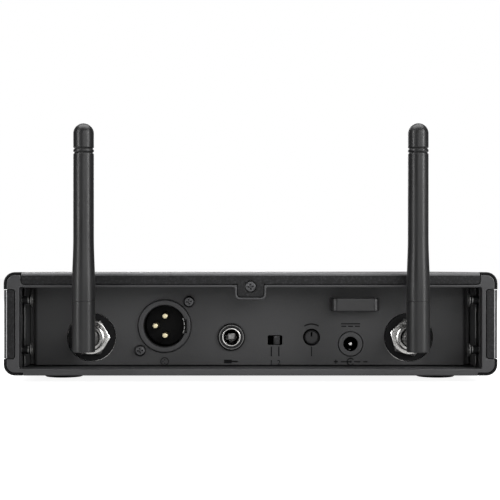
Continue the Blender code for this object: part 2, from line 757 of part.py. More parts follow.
def make_dc_socket():
    """Power inlet: a round face flush with the panel, a bore and a centre pin."""
    x, z = DC
    centre = (x, PANEL_Y, z)
    half = DC_FACE_R
    back = PANEL_BACK - DC_DEPTH
    floor = PANEL_Y - DC_BORE_D
    profile = tube_profile(DC_FACE_R, DC_BORE, PANEL_BACK - MM - PANEL_Y, 0)
    socket = turned("dc_socket", profile, "dark_plastic", centre, "+Y", 24, ring=True)
    body = [centred_slot(DC, 2 * half, 2 * half, 0), circle(x, z, DC_BORE)]
    join(socket, plate("dc_body", body, "XZ", floor, PANEL_BACK, None))
    base = [centred_slot(DC, 2 * half, 2 * half, 0), circle(x, z, DC_PIN_R + GAP, 12)]
    join(socket, plate("dc_base", base, "XZ", back, floor, None))
    profile = tapered_rod_profile(DC_PIN_R, back - 2 * MM - PANEL_Y, -0.8 * MM, 0.5 * MM)
    turned("dc_pin", profile, "nickel", centre, "+Y", 12)


def make_level_switch():
    """Two-position slide switch: a housing behind the panel and a slider in its slot."""
    x, z = SWITCH
    outline = [centred_slot(SWITCH, *SWITCH_BODY, 0)]
    body = plate("level_switch_body", outline, "XZ", PANEL_BACK - CONTROL_BODY_D, PANEL_BACK, "tin")
    cavity = [centred_slot(SWITCH, SLOT_W + 2 * GAP, SLIDER_H + 2 * GAP, 0)]
    floor = PANEL_BACK - CONTROL_BORE_D
    cut(body, plate("switch_cavity", cavity, "XZ", floor, PANEL_BACK + MM, None))
    half_w, half_h = SLIDER_W / 2, SLIDER_H / 2
    nub_low, nub_high = (-half_w, -CONTROL_REACH, -half_h), (half_w, -0.2 * MM, half_h)
    block("level_switch_slider", nub_low, nub_high, "black_plastic", (SLIDER_X, PANEL_Y, z))


def make_squelch():
    """Small trimmer: a housing behind the panel and a slotted shaft."""
    x, z = SQUELCH
    outline = [centred_slot(SQUELCH, POT_BODY, POT_BODY, 0)]
    low = PANEL_BACK - CONTROL_BODY_D
    body = plate("squelch_pot_body", outline, "XZ", low, PANEL_BACK, "black_plastic")
    bore = [circle(x, z, SHAFT_R + GAP)]
    floor = PANEL_BACK - CONTROL_BORE_D
    cut(body, plate("shaft_bore", bore, "XZ", floor, PANEL_BACK + MM, None))
    profile = tapered_rod_profile(SHAFT_R, -CONTROL_REACH, 0.4 * MM, 0.3 * MM)
    centre = (x, PANEL_Y, z)
    shaft = turned("squelch_shaft", profile, "black_plastic", centre, "+Y", 24)
    slot_low, slot_high = (-0.4 * MM, -0.8 * MM, -0.2 * MM), (0.4 * MM, MM, 4 * MM)
    cut(shaft, block("shaft_slot", slot_low, slot_high, None, centre))


# Antennas --------------------------------------------------------------------------------------


def whip_profile():
    """Tapered rubber whip with two narrow rings near a round tip, from the tip down."""
    tip = WHIP_HIGH - WHIP_R
    points = [(WHIP_R * math.sin(t), tip + WHIP_R * math.cos(t)) for t in quarter_turns(6)]
    for z in GROOVES:
        half = GROOVE_D
        points += [(WHIP_R, z + half), (WHIP_R - GROOVE_D, z), (WHIP_R, z - half)]
    points += [(WHIP_R, TAPER_HIGH), (ANTENNA_R, TAPER_LOW)]
    low = ELBOW_HIGH + GAP
    points += [(ANTENNA_R, low), (0, low)]
    return [(radius, z - ANTENNA_Z) for radius, z in points]


def quarter_turns(steps):
    return [math.pi / 2 * i / steps for i in range(steps + 1)]


def make_antennas():
    """Each antenna turns on its hub, which runs in a nickel bushing held by a hex nut."""
    below = ELBOW_LOW - ANTENNA_Z
    above = ELBOW_HIGH - ANTENNA_Z
    edge = 0.5 * MM
    elbow_profile = [
        (0, above),
        (ANTENNA_R, above),
        (ANTENNA_R, below + edge),
        (ANTENNA_R - edge, below),
        (0, below),
    ]
    bore = HUB_R + GAP
    flange = PANEL_BACK - PANEL_Y
    bushing_profile = [
        (BUSHING_R, BUSHING_PROUD),
        (BUSHING_R, flange),
        (BUSHING_FLANGE_R, flange),
        (BUSHING_FLANGE_R, flange - BUSHING_FLANGE_T),
        (BUSHING_TAIL_R, flange - BUSHING_FLANGE_T),
        (BUSHING_TAIL_R, BUSHING_END),
        (0, BUSHING_END),
        (0, BUSHING_FLOOR),
        (bore, BUSHING_FLOOR),
        (bore, BUSHING_PROUD),
    ]
    hub_low = BUSHING_FLOOR + 0.5 * MM - (REAR + ANTENNA_OFFSET - PANEL_Y)
    for side, sign in SIDES.items():
        root = (sign * ANTENNA_X, PANEL_Y, ANTENNA_Z)
        axis_point = (sign * ANTENNA_X, REAR + ANTENNA_OFFSET, ANTENNA_Z)
        washer = tube_profile(WASHER_R, BUSHING_R + GAP, -PANEL_T, -WASHER_SUNK)
        turned(f"antenna_washer_{side}", washer, "black_plastic", root, "+Y", 32, ring=True)
        turned(f"antenna_bushing_{side}", bushing_profile, "nickel", root, "+Y", 24, ring=True)
        make_nut(side, root, 0 if sign > 0 else LEFT_NUT_TURN)
        elbow = turned(f"antenna_elbow_{side}", elbow_profile, "rubber", axis_point, "+Z", 24)
        hub = turned(f"hub_{side}", rod_profile(HUB_R, hub_low, 0), None, axis_point, "+Y", 24)
        join(elbow, hub)
        turned(f"antenna_whip_{side}", whip_profile(), "rubber", axis_point, "+Z", 24)


def make_nut(side, root, turn):
    """Hex nut, turned as it was tightened."""
    radius = NUT_FLATS / math.sqrt(3)
    hexagon = [(radius * math.cos(t), radius * math.sin(t)) for t in hex_angles(turn)]
    low = GAP - WASHER_SUNK
    outlines = [hexagon, circle(0, 0, BUSHING_R + GAP)]
    plate(f"antenna_nut_{side}", outlines, "XZ", low, low + NUT_T, "nickel", root)


def hex_angles(turn):
    return [turn + math.pi / 3 * i for i in range(6)]


# Front -----------------------------------------------------------------------------------------


def centred(width, height, radius, x=0.0):
    return rectangle(x - width / 2, MID_Z - height / 2, x + width / 2, MID_Z + height / 2, radius)


def make_front():
    """Front frame, display fascia, lens and display module."""
    frame = plate(
        "front_frame",
        [centred(BODY_W, BODY_H, CORNER_R), centred(FASCIA_W - 6 * MM, FASCIA_H - 6 * MM, 2 * MM)],
        "XZ", FRONT, FRONT + FRONT_FRAME_D, "grey_plastic",
    )
    pocket = [centred(FASCIA_W + 2 * GAP, FASCIA_H + 2 * GAP, 2 * MM)]
    pocket_y = FASCIA_Y + FASCIA_T + GAP
    cut(frame, plate("fascia_pocket", pocket, "XZ", FRONT - MM, pocket_y, None))
    outlines = [
        centred(FASCIA_W, FASCIA_H, 2 * MM),
        centred(LENS[0] + 2 * GAP, LENS[1] + 2 * GAP, MM, LENS_X),
        circle(POWER_X, MID_Z, POWER_R + GAP),
    ]
    outlines += [circle(x, MID_Z, BUTTON_R + GAP, 20) for x in BUTTONS.values()]
    plate("front_fascia", outlines, "XZ", FASCIA_Y, FASCIA_Y + FASCIA_T, "gloss_black")
    lens = [centred(*LENS, 0.7 * MM, LENS_X)]
    plate("display_lens", lens, "XZ", FASCIA_Y, FASCIA_Y + 2.4 * MM, "lens")
    module_y = FASCIA_Y + FASCIA_T + GAP
    module = [centred(56 * MM, 19 * MM, 0, LENS_X)]
    plate("display_module", module, "XZ", module_y, CONTROL_BOARD_Y - GAP, "tin")
    board = [centred(180 * MM, 26 * MM, MM)]
    board_end = CONTROL_BOARD_Y + BOARD_T
    plate("control_board", board, "XZ", CONTROL_BOARD_Y, board_end, "circuit_board")


def make_button(name, x, radius):
    """A button with a retaining flange and a plunger. Heights run outwards from the fascia's back."""
    back = FASCIA_Y + FASCIA_T
    face = back - FRONT + BUTTON_PROUD
    flange = radius + 1.2 * MM
    plunger = back - CONTROL_BOARD_Y + 1.3 * MM
    profile = [
        (0, face),
        (radius - 0.4 * MM, face),
        (radius, face - 0.4 * MM),
        (radius, -GAP),
        (flange, -GAP),
        (flange, -GAP - MM),
        (1.5 * MM, -GAP - MM),
        (1.5 * MM, plunger),
        (0, plunger),
    ]
    turned(name, profile, "black_plastic", (x, back, MID_Z), "-Y", 20)


# Inside ----------------------------------------------------------------------------------------


def make_electronics():
    """Main board, the screening can on it and a coaxial lead from each antenna bushing."""
    low, high = (-BOARD_X, BOARD_FRONT, BOARD_Z), (BOARD_X, BOARD_REAR, BOARD_Z + BOARD_T)
    block("main_board", low, high, "circuit_board")
    base = BOARD_Z + BOARD_T + GAP
    can_low, can_high = (-SHIELD_X, SHIELD_FRONT, base), (SHIELD_X, SHIELD_REAR, base + SHIELD_H)
    can = block("rf_shield", can_low, can_high, "tin")
    inner_low = [v + SHIELD_T for v in can_low]
    inner_high = [v - SHIELD_T for v in can_high]
    inner_low[2] = base - MM
    cut(can, block("can_inside", inner_low, inner_high, None))
    for side, sign in SIDES.items():
        make_lead(f"antenna_lead_{side}", sign, base + SHIELD_H / 2)


def make_lead(name, sign, shield_z):
    """A coaxial lead that leaves the bushing forwards and enters the side of the screening can."""
    start_y = PANEL_Y + BUSHING_END - GAP
    shield_y = (SHIELD_REAR + SHIELD_FRONT) / 2
    entry_x = SHIELD_X + GAP
    points = [
        (sign * ANTENNA_X, start_y, ANTENNA_Z),
        (sign * ANTENNA_X, start_y - 12 * MM, ANTENNA_Z - MM),
        (sign * (entry_x + 22 * MM), shield_y + 2 * MM, shield_z + MM),
        (sign * entry_x, shield_y, shield_z),
    ]
    curve = bpy.data.curves.new(name, "CURVE")
    curve.dimensions = "3D"
    curve.bevel_depth = LEAD_R
    curve.bevel_resolution = 2
    curve.resolution_u = 6
    curve.use_fill_caps = True
    spline = curve.splines.new("BEZIER")
    spline.bezier_points.add(len(points) - 1)
    for point, place_at in zip(spline.bezier_points, points):
        point.co = place_at
        point.handle_left_type = "AUTO"
        point.handle_right_type = "AUTO"
    set_lead_ends(spline, sign)
    place(name, curve, "black_plastic")


def set_lead_ends(spline, sign):
    """The lead leaves straight out of the bushing and meets the can square on."""
    reach = 8 * MM
    first, last = spline.bezier_points[0], spline.bezier_points[-1]
    for point in (first, last):
        point.handle_left_type = "FREE"
        point.handle_right_type = "FREE"
    first.handle_right = Vector(first.co) + Vector((0, -reach / 2, 0))
    first.handle_left = Vector(first.co) + Vector((0, reach / 2, 0))
    last.handle_left = Vector(last.co) + Vector((sign * reach, 0, 0))
    last.handle_right = Vector(last.co) - Vector((sign * reach, 0, 0))


def main():
    make_rails()
    make_top_cover()
    make_bottom_plate()
    make_side_panels()
    make_rear_frame()
    make_feet()
    make_screws()
    make_rear_panel()
    make_cable_bridge()
    make_xlr()
    make_jack()
    make_dc_socket()
    make_level_switch()
    make_squelch()
    make_antennas()
    make_front()
    make_button("power_button", POWER_X, POWER_R)
    for name, x in BUTTONS.items():
        make_button(name, x, BUTTON_R)
    make_electronics()


main()
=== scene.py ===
import json
import math

import bmesh
import bpy
from mathutils import Matrix, Vector


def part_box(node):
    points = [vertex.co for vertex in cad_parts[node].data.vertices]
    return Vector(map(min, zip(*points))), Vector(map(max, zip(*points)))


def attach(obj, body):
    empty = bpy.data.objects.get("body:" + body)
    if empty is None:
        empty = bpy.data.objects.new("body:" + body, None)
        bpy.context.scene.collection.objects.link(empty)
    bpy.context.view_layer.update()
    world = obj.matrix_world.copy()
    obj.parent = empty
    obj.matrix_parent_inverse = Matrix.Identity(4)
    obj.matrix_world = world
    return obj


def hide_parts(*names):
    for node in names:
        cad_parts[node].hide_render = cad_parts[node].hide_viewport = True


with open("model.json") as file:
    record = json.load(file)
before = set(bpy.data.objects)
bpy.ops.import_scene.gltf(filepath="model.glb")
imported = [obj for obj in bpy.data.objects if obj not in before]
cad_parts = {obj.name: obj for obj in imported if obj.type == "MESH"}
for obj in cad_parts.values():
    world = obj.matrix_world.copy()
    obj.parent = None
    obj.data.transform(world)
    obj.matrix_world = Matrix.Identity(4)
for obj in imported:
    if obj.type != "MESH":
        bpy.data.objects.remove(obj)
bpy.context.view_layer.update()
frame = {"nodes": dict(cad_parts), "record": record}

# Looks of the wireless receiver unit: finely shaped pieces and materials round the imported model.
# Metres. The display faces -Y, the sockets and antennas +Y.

RECORD = frame["record"]
BODY_OF = {n: body for body, nodes in RECORD["behaviour"]["bodies"].items() for n in nodes}
SLOT_OF = {row["node"]: row["material_slot"] for row in RECORD["subparts"]}

MM = 0.001
SIDES = {"left": -1, "right": 1}


def low(node):
    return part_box(node)[0]


def high(node):
    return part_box(node)[1]


def middle(node):
    return (low(node) + high(node)) / 2


def half_width(node):
    return (high(node).x - low(node).x) / 2


def on_axis(place, y):
    """The point at a depth on the line through a place along Y."""
    return Vector((place.x, y, place.z))


REAR = high("rear_frame").y
FRONT = low("front_frame").y
PANEL_Y = high("dc_socket").y
BASE = low("rear_frame").z
TOP = high("top_cover").z
HALF_W = high("front_frame").x
BEND_R = 1.5 * MM

AXIS_TURN = {
    "+Z": Matrix.Identity(4),
    "+Y": Matrix.Rotation(-math.pi / 2, 4, "X"),
    "-Y": Matrix.Rotation(math.pi / 2, 4, "X"),
    "+X": Matrix.Rotation(math.pi / 2, 4, "Y"),
    "-X": Matrix.Rotation(-math.pi / 2, 4, "Y"),
}


# Shader helpers --------------------------------------------------------------------------------


class Nodes:
    """A material's node tree, with short calls for the nodes that the finishes use."""

    def __init__(self, name, colour, roughness, metallic=0.0):
        self.material = bpy.data.materials.new(name)
        self.material.use_nodes = True
        self.tree = self.material.node_tree
        self.shader = self.tree.nodes["Principled BSDF"]
        self.set("Base Color", (*colour, 1.0))
        self.set("Roughness", roughness)
        self.set("Metallic", metallic)
        self.place = self.add("ShaderNodeTexCoord").outputs["Object"]

    def add(self, kind, **settings):
        node = self.tree.nodes.new(kind)
        for key, value in settings.items():
            setattr(node, key, value)
        return node

    def set(self, socket, value):
        self.shader.inputs[socket].default_value = value

    def link(self, source, target):
        self.tree.links.new(source, target)

    def noise(self, size, detail=2.0, roughness=0.5, stretch=(1, 1, 1)):
        """Noise whose features are about this many metres across."""
        mapping = self.add("ShaderNodeMapping")
        mapping.inputs["Scale"].default_value = stretch
        self.link(self.place, mapping.inputs["Vector"])
        node = self.add("ShaderNodeTexNoise")
        node.inputs["Scale"].default_value = 1 / size
        node.inputs["Detail"].default_value = detail
        node.inputs["Roughness"].default_value = roughness
        self.link(mapping.outputs["Vector"], node.inputs["Vector"])
        return node.outputs["Fac"]

    def cells(self, size, feature="F1"):
        node = self.add("ShaderNodeTexVoronoi", feature=feature)
        node.inputs["Scale"].default_value = 1 / size
        self.link(self.place, node.inputs["Vector"])
        return node.outputs["Distance"]

    def ramp(self, source, low_at, high_at, low_value=0.0, high_value=1.0):
        node = self.add("ShaderNodeMapRange")
        node.inputs["From Min"].default_value = low_at
        node.inputs["From Max"].default_value = high_at
        node.inputs["To Min"].default_value = low_value
        node.inputs["To Max"].default_value = high_value
        self.link(source, node.inputs["Value"])
        return node.outputs["Result"]

    def math(self, operation, a, b):
        node = self.add("ShaderNodeMath", operation=operation)
        for socket, value in zip(node.inputs, (a, b)):
            if isinstance(value, (int, float)):
                socket.default_value = value
            else:
                self.link(value, socket)
        return node.outputs["Value"]

    def mix(self, factor, first, second):
        """A colour between two colours or colour sockets."""
        node = self.add("ShaderNodeMix", data_type="RGBA")
        self.link(factor, node.inputs["Factor"])
        for socket, value in ((node.inputs[6], first), (node.inputs[7], second)):
            if isinstance(value, tuple):
                socket.default_value = (*value, 1.0)
            else:
                self.link(value, socket)
        return node.outputs[2]

    def bump(self, *layers):
        """Stacks (height socket, strength, depth in metres) layers into the normal."""
        previous = None
        for height, strength, depth in layers:
            node = self.add("ShaderNodeBump")
            node.inputs["Strength"].default_value = strength
            node.inputs["Distance"].default_value = depth
            self.link(height, node.inputs["Height"])
            if previous is not None:
                self.link(previous, node.inputs["Normal"])
            previous = node.outputs["Normal"]
        self.link(previous, self.shader.inputs["Normal"])

    def colour(self, socket):
        self.link(socket, self.shader.inputs["Base Color"])

    def roughness(self, socket):
        self.link(socket, self.shader.inputs["Roughness"])


def shade(colour, factor):
    return tuple(min(1.0, c * factor) for c in colour)


def moulded_plastic(name, colour, roughness, gloss=0.45, grain=0.35 * MM, depth=0.02 * MM):
    """Injection-moulded plastic with a fine spark-eroded grain and slight cloudiness."""
    m = Nodes(name, colour, roughness)
    variation = 0.10
    cloud = m.noise(24 * MM, 3.0)
    fine = m.noise(grain, 3.0, 0.6)
    dark, pale = shade(colour, 1 - variation), shade(colour, 1 + variation)
    tone = m.mix(m.ramp(cloud, 0.3, 0.7), dark, pale)
    speck = m.ramp(fine, 0.35, 0.7)
    m.colour(m.mix(speck, tone, shade(colour, 1 + 2.0 * variation)))
    m.roughness(m.ramp(fine, 0.3, 0.7, roughness - 0.05, roughness + 0.08))
    m.bump((fine, 0.6, depth), (m.noise(9 * MM, 1.0), 0.15, 0.1 * MM))
    m.set("Specular IOR Level", gloss)
    return m.material


def bend_highlight_masks(m):
    """1 on the bends to the rear flanges: the sides' bends, the cover's, the sides' far edges. The
    first two masks place the painted highlight on the bends.
    """
    split = m.add("ShaderNodeSeparateXYZ")
    m.link(m.place, split.inputs["Vector"])
    start, soft = BEND_R - 0.02 * MM, 0.12 * MM
    behind = m.ramp(m.math("SUBTRACT", split.outputs["Y"], REAR - start), 0, soft)
    beside = m.math("SUBTRACT", m.math("ABSOLUTE", split.outputs["X"], 0), HALF_W - start)
    above = m.math("SUBTRACT", split.outputs["Z"], TOP - start)
    masks = []
    side_reach, top_reach = 0.42 * MM, 1.4 * MM
    for out, reach in ((beside, side_reach), (above, top_reach)):
        near = m.math("MULTIPLY", behind, m.ramp(out, 0, soft))
        masks.append(m.math("MULTIPLY", near, m.ramp(out, reach, reach + soft, 1, 0)))
    edge = m.math("MULTIPLY", behind, m.ramp(beside, side_reach, side_reach + soft))
    return masks + [edge]


def powder_coat(name, colour, side_painted_highlight, top_painted_highlight):
    """Black textured powder coat: a fine pebble with lighter peaks, and a painted highlight on the
    bends: lighter, glossier colour there, mottled by the pebble.
    """
    m = Nodes(name, colour, 0.4)
    pebble = m.noise(0.8 * MM, 3.0, 0.7)
    patch = m.noise(14 * MM, 2.0)
    crumbs = m.cells(0.7 * MM)
    valley = m.mix(m.ramp(patch, 0.3, 0.7), shade(colour, 0.5), shade(colour, 0.8))
    coat = m.mix(m.ramp(pebble, 0.48, 0.72), valley, shade(colour, 4.0))
    # how strongly the pebble mottles the painted highlight on the bends
    highlight_mottle = m.ramp(pebble, 0.25, 0.6, 0.6, 1.0)
    side, top, edge = bend_highlight_masks(m)
    # painted highlight: lighter colour on the sides' bends, then on the cover's bend
    coat = m.mix(m.math("MULTIPLY", side, highlight_mottle), coat, side_painted_highlight)
    m.colour(m.mix(m.math("MULTIPLY", top, highlight_mottle), coat, top_painted_highlight))
    m.roughness(m.ramp(pebble, 0.3, 0.75, 0.46, 0.34))
    m.bump((crumbs, 0.15, 0.03 * MM), (pebble, 0.5, 0.05 * MM))
    bends = m.math("MAXIMUM", side, top)
    gloss = m.ramp(m.math("SUBTRACT", bends, edge), -1, 1, -0.24, 0.8)
    m.link(m.math("MAXIMUM", gloss, 0.0), m.shader.inputs["Specular IOR Level"])
    return m.material


def satin_rubber(name, colour, roughness):
    """Soft-touch rubber: a broad sheen, fine dust-like grain and faint long flow marks."""
    m = Nodes(name, colour, roughness)
    grain = m.noise(0.22 * MM, 2.0, 0.6)
    flow = m.noise(3 * MM, 2.0, 0.5, (1, 1, 0.15))
    m.colour(m.mix(m.ramp(flow, 0.35, 0.65), shade(colour, 0.9), shade(colour, 1.12)))
    m.roughness(m.ramp(flow, 0.3, 0.7, roughness - 0.03, roughness + 0.05))
    m.bump((grain, 0.35, 0.012 * MM))
    m.set("Sheen Weight", 0.03)
    m.set("Sheen Roughness", 0.5)
    return m.material


def plated_metal(name, colour, roughness, scratch=0.12):
    """Plated and machined metal: fine turning marks, scuffs and uneven gloss."""
    m = Nodes(name, colour, roughness, 1.0)
    scuff = m.noise(1.4 * MM, 5.0, 0.7)
    lines = m.noise(0.25 * MM, 3.0, 0.6, (1, 0.12, 1))
    m.colour(m.mix(m.ramp(scuff, 0.35, 0.75), shade(colour, 0.80), shade(colour, 1.08)))
    m.roughness(m.ramp(scuff, 0.3, 0.75, roughness - 0.06, roughness + 0.16))
    m.bump((lines, scratch, 0.03 * MM), (scuff, scratch, 0.04 * MM))
    return m.material


def gloss_plastic(name, colour, roughness=0.12):
    """Polished plastic with faint moulding waves and a few dull specks."""
    m = Nodes(name, colour, roughness)
    wave = m.noise(18 * MM, 2.0)
    dust = m.noise(0.5 * MM, 4.0, 0.7)
    m.roughness(m.ramp(dust, 0.55, 0.8, roughness, roughness + 0.18))
    m.colour(m.mix(m.ramp(wave, 0.3, 0.7), shade(colour, 0.9), shade(colour, 1.15)))
    m.bump((wave, 0.05, 0.1 * MM))
    m.set("Coat Weight", 0.4)
    m.set("Coat Roughness", 0.06)
    return m.material


def lcd_window(name, colour):
    """A smoked window: black border, with a slightly greener, finely ruled viewing area."""
    m = Nodes(name, colour, 0.07)
    centre = middle("display_lens")
    size = high("display_lens") - low("display_lens")
    split = m.add("ShaderNodeSeparateXYZ")
    m.link(m.place, split.inputs["Vector"])
    inside = []
    for axis, half in (("X", size.x / 2 - 4 * MM), ("Z", size.z / 2 - 3 * MM)):
        offset = m.math("SUBTRACT", split.outputs[axis], getattr(centre, axis.lower()))
        offset = m.math("ABSOLUTE", offset, 0)
        inside.append(m.ramp(offset, half, half - 0.2 * MM))
    window = m.math("MULTIPLY", *inside)
    rules = m.math("PINGPONG", split.outputs["Z"], 0.25 * MM)
    ruled = m.mix(m.ramp(rules, 0.0, 0.12 * MM), (0.020, 0.028, 0.024), (0.030, 0.040, 0.034))
    m.colour(m.mix(window, colour, ruled))
    m.set("Coat Weight", 0.6)
    m.set("Coat Roughness", 0.03)
    return m.material


def circuit_board(name, colour):
    """Solder mask over copper: tracks show as a raised, lighter pattern."""
    m = Nodes(name, colour, 0.35)
    tracks = m.ramp(m.cells(3 * MM, "DISTANCE_TO_EDGE"), 0.04, 0.07)
    m.colour(m.mix(tracks, shade(colour, 1.7), colour))
    m.bump((tracks, 0.2, 0.05 * MM), (m.noise(0.6 * MM), 0.1, 0.02 * MM))
    return m.material


# Each material: its kind, its colour and what else the kind takes
LOOKS = {
    "frame_grey": (moulded_plastic, (0.030, 0.030, 0.0315), 0.34, 0.6),
    # cover_sheet: its last two colours are painted highlights on the side and top bends
    "cover_sheet": (powder_coat, (0.007, 0.007, 0.0075), (0.36, 0.36, 0.37), (0.09, 0.09, 0.093)),
    "black_plastic": (moulded_plastic, (0.005, 0.005, 0.0055), 0.5, 0.15),
    "panel_plastic": (moulded_plastic, (0.038, 0.038, 0.039), 0.55, 0.45, 0.45 * MM, 0.03 * MM),
    "black_screw": (plated_metal, (0.10, 0.10, 0.103), 0.34, 0.15),
    "foot_rubber": (satin_rubber, (0.016, 0.016, 0.016), 0.62),
    "socket_grey": (moulded_plastic, (0.032, 0.032, 0.0335), 0.32, 0.5),
    "gold_contact": (plated_metal, (0.98, 0.86, 0.58), 0.36, 0.04),
    "nickel": (plated_metal, (0.78, 0.77, 0.75), 0.20, 0.05),
    "tinned_steel": (plated_metal, (0.62, 0.62, 0.61), 0.38),
    "antenna_rubber": (satin_rubber, (0.0065, 0.0065, 0.007), 0.36),
    "lead_jacket": (satin_rubber, (0.012, 0.012, 0.012), 0.45),
    "gloss_fascia": (gloss_plastic, (0.010, 0.010, 0.011)),
    "smoked_lens": (lcd_window, (0.004, 0.004, 0.005)),
    "circuit_board": (circuit_board, (0.010, 0.075, 0.030)),
    "button_plastic": (moulded_plastic, (0.034, 0.034, 0.035), 0.38),
    "worn_steel": (plated_metal, (0.26, 0.26, 0.255), 0.42, 0.05),
    "ring_black": (plated_metal, (0.035, 0.035, 0.036), 0.40, 0.10),
    "bridge_grey": (moulded_plastic, (0.013, 0.013, 0.0137), 0.34, 0.6),
    "knob_grey": (moulded_plastic, (0.022, 0.022, 0.023), 0.40, 0.3),
    # painted shade: a near-black colour for sleeves and floors inside bores and slots
    "cavity": (moulded_plastic, (0.0015, 0.0015, 0.0015), 0.8, 0.03),
    "ink": (moulded_plastic, (0.004, 0.004, 0.0045), 0.7, 0.1),
    "pale_ink": (moulded_plastic, (0.45, 0.45, 0.45), 0.5),
}

MATERIALS = {name: kind(name, *values) for name, (kind, *values) in LOOKS.items()}


# Shape helpers ---------------------------------------------------------------------------------


def object_of(name, mesh, material=None):
    obj = bpy.data.objects.new(name, mesh)
    bpy.context.scene.collection.objects.link(obj)
    if material is not None:
        obj.data.materials.append(MATERIALS[material])
    return obj


def settle(obj):
    """Applies an object's modifiers."""
    graph = bpy.context.evaluated_depsgraph_get()
    mesh = bpy.data.meshes.new_from_object(obj.evaluated_get(graph))
    obj.modifiers.clear()
    obj.data = mesh
    return obj


def smooth(obj, angle=40):
    """Cleans a finished mesh and shades it so that flat faces stay flat beside round edges."""
    bm = bmesh.new()
    bm.from_mesh(obj.data)
    bmesh.ops.remove_doubles(bm, verts=bm.verts, dist=1e-7)
    bmesh.ops.dissolve_degenerate(bm, dist=1e-7, edges=bm.edges)
    bm.to_mesh(obj.data)
    bm.free()
    obj.data.shade_smooth()
    obj.data.set_sharp_from_angle(angle=math.radians(angle))
    weigh = obj.modifiers.new("flat_faces", "WEIGHTED_NORMAL")
    weigh.keep_sharp = True
    weigh.weight = 80
    return settle(obj)


def boolean(obj, tool, operation):
    modifier = obj.modifiers.new("cut", "BOOLEAN")
    modifier.object = tool
    modifier.operation = operation
    modifier.solver = "EXACT"
    settle(obj)
    bpy.data.objects.remove(tool)
    return obj


def bevel(obj, width, segments=3, angle=30):
    modifier = obj.modifiers.new("edges", "BEVEL")
    modifier.width = width
    modifier.segments = segments
    modifier.limit_method = "ANGLE"
    modifier.angle_limit = math.radians(angle)
    modifier.use_clamp_overlap = False
    modifier.miter_outer = "MITER_ARC"
    return settle(obj)


def rounded(corners, steps=6):
    """Points of an outline or a lathe profile from (u, v, radius) corners."""
    points = []
    for i, (u, v, radius) in enumerate(corners):
        here = Vector((u, v))
        if radius == 0:
            points.append(tuple(here))
            continue
        before = (Vector(corners[i - 1][:2]) - here).normalized()
        after = (Vector(corners[(i + 1) % len(corners)][:2]) - here).normalized()
        half = before.angle(after) / 2
        centre = here + (before + after).normalized() * (radius / math.sin(half))
        start = here + before * (radius / math.tan(half)) - centre
        turn = start.angle_signed(here + after * (radius / math.tan(half)) - centre)
        for step in range(steps + 1):
            points.append(tuple(centre + Matrix.Rotation(-turn * step / steps, 2) @ start))
    return points


def tube_profile(outer, inner, top, bottom, outer_edge=0, inner_edge=0):
    """A hollow cylinder's section for a ring lathe, with rounded top edges."""
    return rounded([
        (outer, top, outer_edge),
        (outer, bottom, 0),
        (inner, bottom, 0),
        (inner, top, inner_edge),
    ])


def lathe(name, profile, at, axis, material=None, steps=96, ring=False):
    """A turned piece from (radius, height) points, read down its outer side."""
    count = len(profile)
    edges = [(i, i + 1) for i in range(count - 1)] + ([(count - 1, 0)] if ring else [])
    mesh = bpy.data.meshes.new(name)
    mesh.from_pydata([(radius, 0, height) for radius, height in profile], edges, [])
    obj = object_of(name, mesh, material)
    screw = obj.modifiers.new("turn", "SCREW")
    screw.steps = screw.render_steps = steps
    screw.use_merge_vertices = True
    screw.merge_threshold = 1e-6
    settle(obj)
    obj.data.transform(Matrix.Translation(at) @ AXIS_TURN[axis])
    return obj


def closed(mesh):
    """Welds a mesh made from a filled curve and turns its faces outwards."""
    bm = bmesh.new()
    bm.from_mesh(mesh)
    bmesh.ops.remove_doubles(bm, verts=bm.verts, dist=1e-7)
    bmesh.ops.dissolve_degenerate(bm, dist=1e-7, edges=bm.edges)
    bmesh.ops.dissolve_limit(bm, angle_limit=0.001, verts=bm.verts, edges=bm.edges)
    bmesh.ops.recalc_face_normals(bm, faces=bm.faces)
    bm.to_mesh(mesh)
    bm.free()
    return mesh


def mesh_of(curve):
    """The mesh of a filled curve or text."""
    guide = object_of("guide", curve)
    graph = bpy.context.evaluated_depsgraph_get()
    mesh = bpy.data.meshes.new_from_object(guide.evaluated_get(graph))
    bpy.data.objects.remove(guide)
    return mesh


def slab(name, outlines, at, axis, thickness, material=None):
    """A flat outline, with any holes, raised by a thickness along an axis from a place."""
    curve = bpy.data.curves.new(name, "CURVE")
    curve.dimensions = "2D"
    curve.fill_mode = "BOTH"
    curve.extrude = thickness / 2
    for outline in outlines:
        spline = curve.splines.new("POLY")
        spline.points.add(len(outline) - 1)
        for point, (u, v) in zip(spline.points, outline):
            point.co = (u, v, 0, 1)
        spline.use_cyclic_u = True
    mesh = mesh_of(curve)
    lift = Matrix.Translation((0, 0, thickness / 2))
    mesh.transform(Matrix.Translation(at) @ FACING[axis] @ lift)
    return object_of(name, closed(mesh), material)


# Drawing planes for slabs: u runs along +X and v along +Z on the rear and front faces
FACING = {
    "+Y": Matrix(((1, 0, 0, 0), (0, 0, 1, 0), (0, 1, 0, 0), (0, 0, 0, 1))),
    "-Y": Matrix(((1, 0, 0, 0), (0, 0, -1, 0), (0, 1, 0, 0), (0, 0, 0, 1))),
    "+Z": Matrix.Identity(4),
}


def circle(u, v, radius, steps=64):
    turns = [2 * math.pi * i / steps for i in range(steps)]
    return [(u + radius * math.cos(t), v + radius * math.sin(t)) for t in turns]


def rectangle(width, height, radius=0.0, u=0.0, v=0.0):
    signs = ((-1, -1), (1, -1), (1, 1), (-1, 1))
    return rounded([(u + a * width / 2, v + b * height / 2, radius) for a, b in signs])


